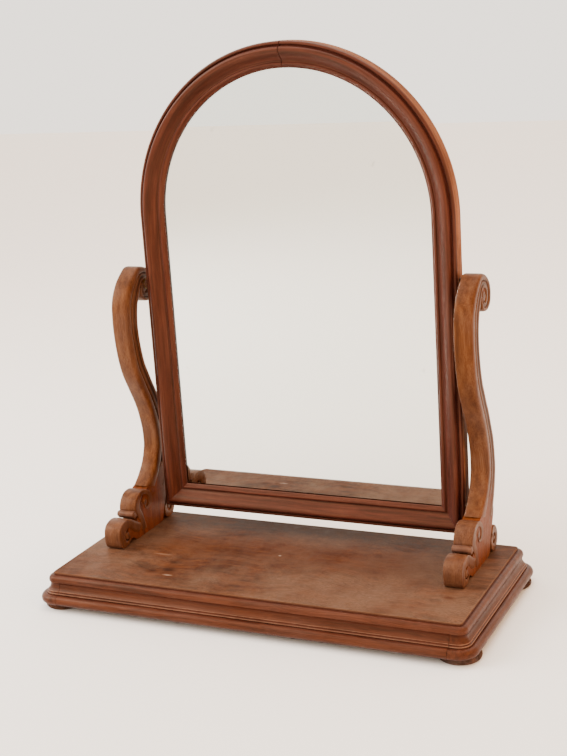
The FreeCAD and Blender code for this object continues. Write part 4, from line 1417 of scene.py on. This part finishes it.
# ---------------------------------------------------------------- supports
@dataclass
class Supports(Assembly):
    """The two scrolled supports that stand on the base and carry the framed glass.

    A station is the front y, the front z, the rear y, the rear z and half the width of a bar that
    is carved from one end to the other. A section is half of that bar's cross-section: a share of half
    the width, and a share of the way from front to rear. Points seen from the side are y and z. All
    these are in millimetres, with heights above the top of the base. The other lengths are in metres.
    """
    body: ClassVar[str] = "base"
    stem_section: tuple[Point, ...] = (
        (0.66, 0.0), (0.80, 0.012), (0.90, 0.04), (0.97, 0.09), (1.0, 0.15), (1.0, 0.30), (0.975, 0.355),
        (0.90, 0.40), (0.83, 0.43), (0.80, 0.46), (0.835, 0.485), (0.885, 0.50), (0.925, 0.54), (0.92, 0.62),
        (0.92, 0.70), (0.95, 0.735), (0.99, 0.77), (1.0, 0.82), (0.99, 0.90), (0.92, 0.96), (0.80, 1.0))
    band_section: tuple[Point, ...] = (
        (0.88, 0.0), (0.96, 0.02), (1.0, 0.09), (1.0, 0.30), (1.0, 0.72), (0.985, 0.86), (0.93, 0.97), (0.86, 1.0))
    stem: tuple[tuple[float, ...], ...] = (
        (54, 69, 114, 51, 12.7), (70, 81, 124, 76, 12.9), (85, 98, 129, 97, 13.2), (94, 118, 131, 119, 13.5),
        (95, 131, 130, 133, 13.5), (94.2, 145, 127.5, 149, 13.5), (91.5, 158, 123.2, 167, 13.5),
        (86.5, 176, 114, 188, 13.5), (79.5, 192.5, 105.8, 207, 13.5), (70.5, 209, 97.5, 222, 13.5),
        (61.5, 225.5, 88.9, 239.4, 13.5), (53.5, 241, 82, 253.5, 13.5), (48, 257, 78, 266.5, 13.5),
        (44, 273.5, 75.2, 278.5, 13.5), (41.3, 291, 72.8, 293, 13.5), (39.8, 307, 71.5, 307, 13.5),
        (39.3, 320, 71.7, 320, 13.5), (39.8, 334, 73.6, 333.5, 13.5), (41.1, 346.9, 76.5, 345, 13.5),
        (44.9, 359.3, 80, 351, 13.5), (51.8, 371, 82.5, 355, 13.5), (61.7, 382.2, 84.5, 360, 13.5),
        (76, 392.5, 86.5, 366, 13.5), (88, 398, 90, 373, 13.5), (105.7, 394.6, 97, 377, 13.5),
        (118.9, 386.5, 104, 375, 13.5), (127.3, 376.6, 107, 370, 13.5), (129.9, 363.8, 106.5, 364.5, 13.5),
        (125.9, 350.9, 104, 360, 13.5), (114.1, 344.5, 101, 357.6, 13.5), (101, 344.4, 98.5, 358, 13.5),
        (91, 350, 96, 360, 13.5), (87.5, 358, 95, 363, 13.4), (88, 366, 97, 366, 13.3))
    upper_scroll: tuple[tuple[float, ...], ...] = (
        (28, 8, 45, 8, 12.9), (24.6, 24.5, 38, 24, 13.2), (20, 32, 34, 33.8, 13.5), (14.5, 40, 30.5, 40, 13.5),
        (11.8, 46, 29.5, 44, 13.5), (14, 54, 30, 50, 13.5), (19, 61, 32, 55, 13.5), (27, 66.5, 36, 59, 13.5),
        (38, 68.3, 41, 60.5, 13.5), (48, 66.5, 47, 59, 13.5), (57, 62, 51.5, 55.5, 13.5),
        (62.5, 56, 53, 51, 13.5), (64.5, 49, 52.5, 46.5, 13.5), (62, 41, 50, 42, 13.5), (54, 36, 46, 41, 13.5),
        (45, 37, 43, 42, 13.4), (41, 43, 43, 46, 13.3))
    lower_scroll: tuple[tuple[float, ...], ...] = (
        (26, 22, 22, 8, 12.9), (17, 26, 13, 11, 13.3), (9.3, 31, 6, 15, 13.5), (1.5, 36, 0, 20.5, 13.5),
        (-8, 39.4, -5, 24, 13.5), (-18, 39.5, -11, 24.5, 13.5), (-27, 37, -16, 22.5, 13.5),
        (-33, 32, -19, 19, 13.5), (-35.5, 24.5, -20, 15.5, 13.5), (-35.4, 15, -19, 12, 13.5),
        (-33.5, 6, -16.5, 9, 13.5), (-28, 0.3, -13, 7.8, 13.5), (-20, 0.2, -10, 9, 13.5),
        (-12, 2, -8.5, 11, 13.5), (-7, 7, -9, 14, 13.4), (-6, 14, -12, 16, 13.3))
    rear_scroll: tuple[tuple[float, ...], ...] = (
        (99.5, 20, 108, 26, 13.0), (99.3, 12, 107, 17, 13.3), (103, 3, 108.5, 12, 13.5),
        (110, 0.2, 112, 10.5, 13.5), (118, 0.8, 115.5, 11.5, 13.5), (124.5, 5, 118, 14, 13.5),
        (128.3, 12, 119, 17.5, 13.5), (128.8, 20, 118.5, 21, 13.5), (126, 28, 116.5, 24, 13.5),
        (120, 34.5, 113.5, 25.5, 13.5), (113, 37, 110.5, 24.8, 13.5), (107, 34, 108.5, 22.5, 13.4),
        (104.5, 28, 108.5, 20, 13.3))
    block: tuple[Point, ...] = (
        (14, 0.2), (22, 0), (83, 0), (92.9, 2.5), (95.5, 9), (98.8, 18.6), (104, 30), (110, 42), (114, 51),
        (117, 60), (114.5, 72), (109, 84), (102.5, 93), (98.5, 86), (90, 79), (76, 72.5), (62, 69.5), (54, 67),
        (40, 60), (25, 45), (20, 30), (9, 26), (0, 30), (-8, 24), (-14, 16), (-9, 4), (1.3, 7.4))
    ledge: tuple[Point, ...] = ((3.7, 39.0), (4.0, 42.6), (6.5, 44.4), (12, 44.5), (17, 36), (9, 33))
    eyes: tuple[tuple[float, float, float], ...] = (
        (97.5, 366.0, 7.0), (44.0, 48.5, 5.2), (-13.0, 15.0, 5.6), (112.3, 18.3, 4.4))
    webs: tuple[tuple[float, float, float], ...] = ((104.0, 369.0, 17.0), (113.0, 19.0, 9.0), (41.0, 52.0, 12.0))
    block_half: float = 12.2 * MM
    web_half: float = 11.6 * MM
    web_ease: float = 0.3 * MM
    eye_sink: float = 0.4 * MM
    eye_ease: float = 1.6 * MM
    ledge_ease: float = 0.8 * MM
    box: Box = field(default_factory=lambda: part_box("support_right"))

    @property
    def half(self) -> float:
        """Half the thickness of a support."""
        return (self.box[1].x - self.box[0].x) / 2

    def build(self) -> None:
        """Build and dress both supports."""
        parts = [self.sweep("stem", self.stem, self.stem_section)]
        parts += [self.sweep("scroll", stations, self.band_section)
                  for stations in (self.upper_scroll, self.lower_scroll, self.rear_scroll)]
        parts.append(self.slab("ledge", self.ledge, self.half, self.ledge_ease))
        parts += [self.boss(*eye, self.half - self.eye_sink, self.eye_ease) for eye in self.eyes]
        fields = [self.slab("block", self.block, self.block_half, 0.0)]
        fields += [self.boss(*web, self.web_half, self.web_ease) for web in self.webs]
        for part in parts:
            self.finishes.dress(part, Finishes.support_wood)
        for part in fields:
            self.finishes.dress(part, Finishes.support_field)
        piece = join(parts + fields, "scrolled_support_right")
        lay_grain(piece, along(2, 0.4))
        other = mirror_copy(piece, "scrolled_support_left")
        self.hand_over(piece, "support_wood", "support_right")
        self.hand_over(other, "support_wood", "support_left")

    def point(self, x: float, y: float, z: float) -> Vector:
        """Return a point: x beside the support's middle in metres, y and z in millimetres."""
        low, high = self.box
        return Vector(((low.x + high.x) / 2 + x, y * MM, low.z + z * MM))

    def ring(self, station: Sequence[float], section: Sequence[Point]) -> list[Vector]:
        """Return the cross-section at a station.

        Args:
            station: The station.
            section: Half of the bar's cross-section.

        Returns:
            The points up the right side from front to rear, then down the left side.
        """
        front_y, front_z, rear_y, rear_z, half = station

        def at(share: float, back: float, side: int) -> Vector:
            """Return one corner of the cross-section."""
            return self.point(side * share * half * MM, front_y + back * (rear_y - front_y),
                              front_z + back * (rear_z - front_z))

        right = [at(share, back, 1) for share, back in section]
        left = [at(share, back, -1) for share, back in reversed(section)]
        return right + left

    def sweep(self, name: str, stations: Sequence[tuple[float, ...]], section: Sequence[Point]) -> Piece:
        """Draw the first cross-section, then extrude it from station to station.

        Args:
            name: The bar's name.
            stations: The stations that the bar passes through.
            section: Half of its cross-section.

        Returns:
            The closed bar.
        """
        path = smooth(stations, steps=3)
        here = self.ring(path[0], section)
        piece = draw_outline(name, here)
        for station in path[1:]:
            there = self.ring(station, section)
            run(Vector((0, 0, 0)))
            move_ring(piece, here, there)
            here = there
        return close_up(piece, angle=32.0)

    def slab(self, name: str, outline: Sequence[Point], half: float, ease: float) -> Piece:
        """Saw a block to an outline seen from the side, and ease its edges.

        Args:
            name: The block's name.
            outline: Its corners.
            half: Half its thickness.
            ease: The width by which its edges are eased.

        Returns:
            The block.
        """
        piece = draw_outline(name, [self.point(-half, y, z) for y, z in outline])
        run(Vector((2 * half, 0, 0)))
        return close_up(piece, ease, 30.0)

    def boss(self, y: float, z: float, radius: float, half: float, ease: float) -> Piece:
        """Turn a round boss that runs through the support, with rounded rims.

        Args:
            y: Its centre, front to back, in millimetres.
            z: Its centre's height, in millimetres.
            radius: Its radius, in millimetres.
            half: Half its length.
            ease: The width of its rounded rims.

        Returns:
            The boss.
        """
        centre, r = self.point(0, y, z), radius * MM
        profile = [(-half, 0.0), (-half, r - ease)]
        profile += arc(profile[-1], (-half + 0.3 * ease, r - 0.3 * ease), (-half + ease, r), steps=4)
        profile += [(-x, h) for x, h in reversed(profile)]
        piece = draw_outline("boss", [centre + Vector((x, 0, h)) for x, h in profile])
        bpy.ops.mesh.spin(steps=32, angle=math.tau, center=centre, axis=X_AXIS)
        return close_up(piece)


# ---------------------------------------------------------------- fixings
@dataclass
class Fixings(Assembly):
    """The pivots, washers and screws, which keep their construction shapes."""

    def build(self) -> None:
        """Dress every fixing."""
        self.finishes.dress_nodes(Finishes.brass, "pivot_bush_left", "pivot_bush_right", "pivot_stud_left",
                                  "pivot_stud_right", "pivot_plate_screws")
        self.finishes.dress_nodes(Finishes.leather, "friction_washer_left", "friction_washer_right")
        self.finishes.dress_nodes(Finishes.steel, "foot_screws", "support_screws", "backboard_screws")


# ---------------------------------------------------------------- studio
@dataclass(frozen=True)
class View:
    """The camera, in metres from the middle of the base's underside, and degrees for its turns."""
    place: tuple[float, float, float] = (0.81442, -1.68070, 0.81237)
    turn: float = 25.38
    tilt: float = -14.88
    roll: float = -3.765
    focal_px: float = 1416.7
    long_side_px: float = 756.0
    sensor_mm: float = 36.0


@dataclass(frozen=True)
class Lamp:
    """A square soft panel.

    Attributes:
        name: Its name.
        place: Its middle, in metres.
        power: Its power, in watts.
        size: The length of its side, in metres.
        colour: The colour of its light.
    """
    name: str
    place: tuple[float, float, float]
    power: float
    size: float
    colour: str = "ffffff"


@dataclass
class Studio:
    """A pale floor, a pale surround and soft light from large panels.

    Attributes:
        finishes: The finishes that the floor is dressed with.
        floor_size: The length of the floor's side, in metres.
        aim: Where the panels point.
        lamps: The panels.
        view: The camera.
    """
    finishes: Finishes
    floor_size: float = 14.0
    aim: tuple[float, float, float] = (0.0, 0.0, 0.3)
    lamps: tuple[Lamp, ...] = (Lamp("window_panel", (-2.2, -1.0, 1.7), 95.0, 1.8),
                               Lamp("side_panel", (2.6, -0.4, 1.3), 20.0, 1.2, "ffd9b0"),
                               Lamp("top_panel", (0.2, 0.6, 3.0), 30.0, 2.2))
    view: View = View()

    def build(self) -> None:
        """Build the floor, the light and the camera."""
        self.floor()
        self.surround()
        self.panels()
        self.camera()

    def floor(self) -> None:
        """Lay a plain pale floor."""
        deselect()
        bpy.ops.mesh.primitive_plane_add(size=self.floor_size, location=(0, 0, 0))
        floor = bpy.context.object
        floor.name = "studio_floor"
        self.finishes.dress(floor, Finishes.paper)

    def surround(self) -> None:
        """Light the surround: pale at the horizon, brighter overhead and warmer on the right.

        It is lit as in a room with a white ceiling and a cream wall beside the object.
        """
        world = bpy.data.worlds.new("pale_surround")
        world.use_nodes = True
        tree = world.node_tree
        tree.nodes.clear()
        way = add(tree, "ShaderNodeTexCoord").outputs["Generated"]
        parts = add(tree, "ShaderNodeSeparateXYZ", {0: way}).outputs
        strength = add(tree, "ShaderNodeMapRange", {
            "Value": parts["Z"], "From Min": 0.0, "From Max": 0.9, "To Min": 2.5, "To Max": 3.0})
        warmth = add(tree, "ShaderNodeMapRange", {"Value": parts["X"], "From Min": 0.1, "From Max": 0.8})
        tint = add(tree, "ShaderNodeMix", {"Factor": warmth, "A": linear("f8eee2"), "B": linear("ffc48e")},
                   data_type="RGBA")
        light = add(tree, "ShaderNodeBackground", {"Color": tint, "Strength": strength})
        add(tree, "ShaderNodeOutputWorld", {"Surface": light})
        bpy.context.scene.world = world

    def panels(self) -> None:
        """Hang the large soft panels."""
        for lamp in self.lamps:
            data = bpy.data.lights.new(lamp.name, "AREA")
            data.energy = lamp.power
            data.size = lamp.size
            data.color = linear(lamp.colour)[:3]
            panel = bpy.data.objects.new(lamp.name, data)
            panel.location = lamp.place
            way = Vector(self.aim) - panel.location
            panel.rotation_euler = way.to_track_quat("-Z", "Y").to_euler()
            bpy.context.scene.collection.objects.link(panel)

    def camera(self) -> None:
        """Set the camera at the viewing angle."""
        view = self.view
        data = bpy.data.cameras.new("camera")
        data.sensor_width = view.sensor_mm
        data.lens = view.focal_px * view.sensor_mm / view.long_side_px
        camera = bpy.data.objects.new("camera", data)
        turn, tilt, roll = (math.radians(a) for a in (view.turn, view.tilt, view.roll))
        camera.matrix_world = (Matrix.Translation(view.place) @ Matrix.Rotation(turn, 4, "Z")
                               @ Matrix.Rotation(math.pi / 2 + tilt, 4, "X") @ Matrix.Rotation(roll, 4, "Z"))
        bpy.context.scene.collection.objects.link(camera)
        bpy.context.scene.camera = camera


def main() -> None:
    """Build the studio and every sub-assembly in order, and report each piece."""
    logging.basicConfig(level=logging.INFO, format="%(name)s %(message)s")
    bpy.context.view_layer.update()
    finishes = Finishes()
    Studio(finishes).build()
    Base(finishes).build()
    Supports(finishes).build()
    FramedGlass(finishes).build()
    Fixings(finishes).build()


if __name__ == "__main__":
    main()
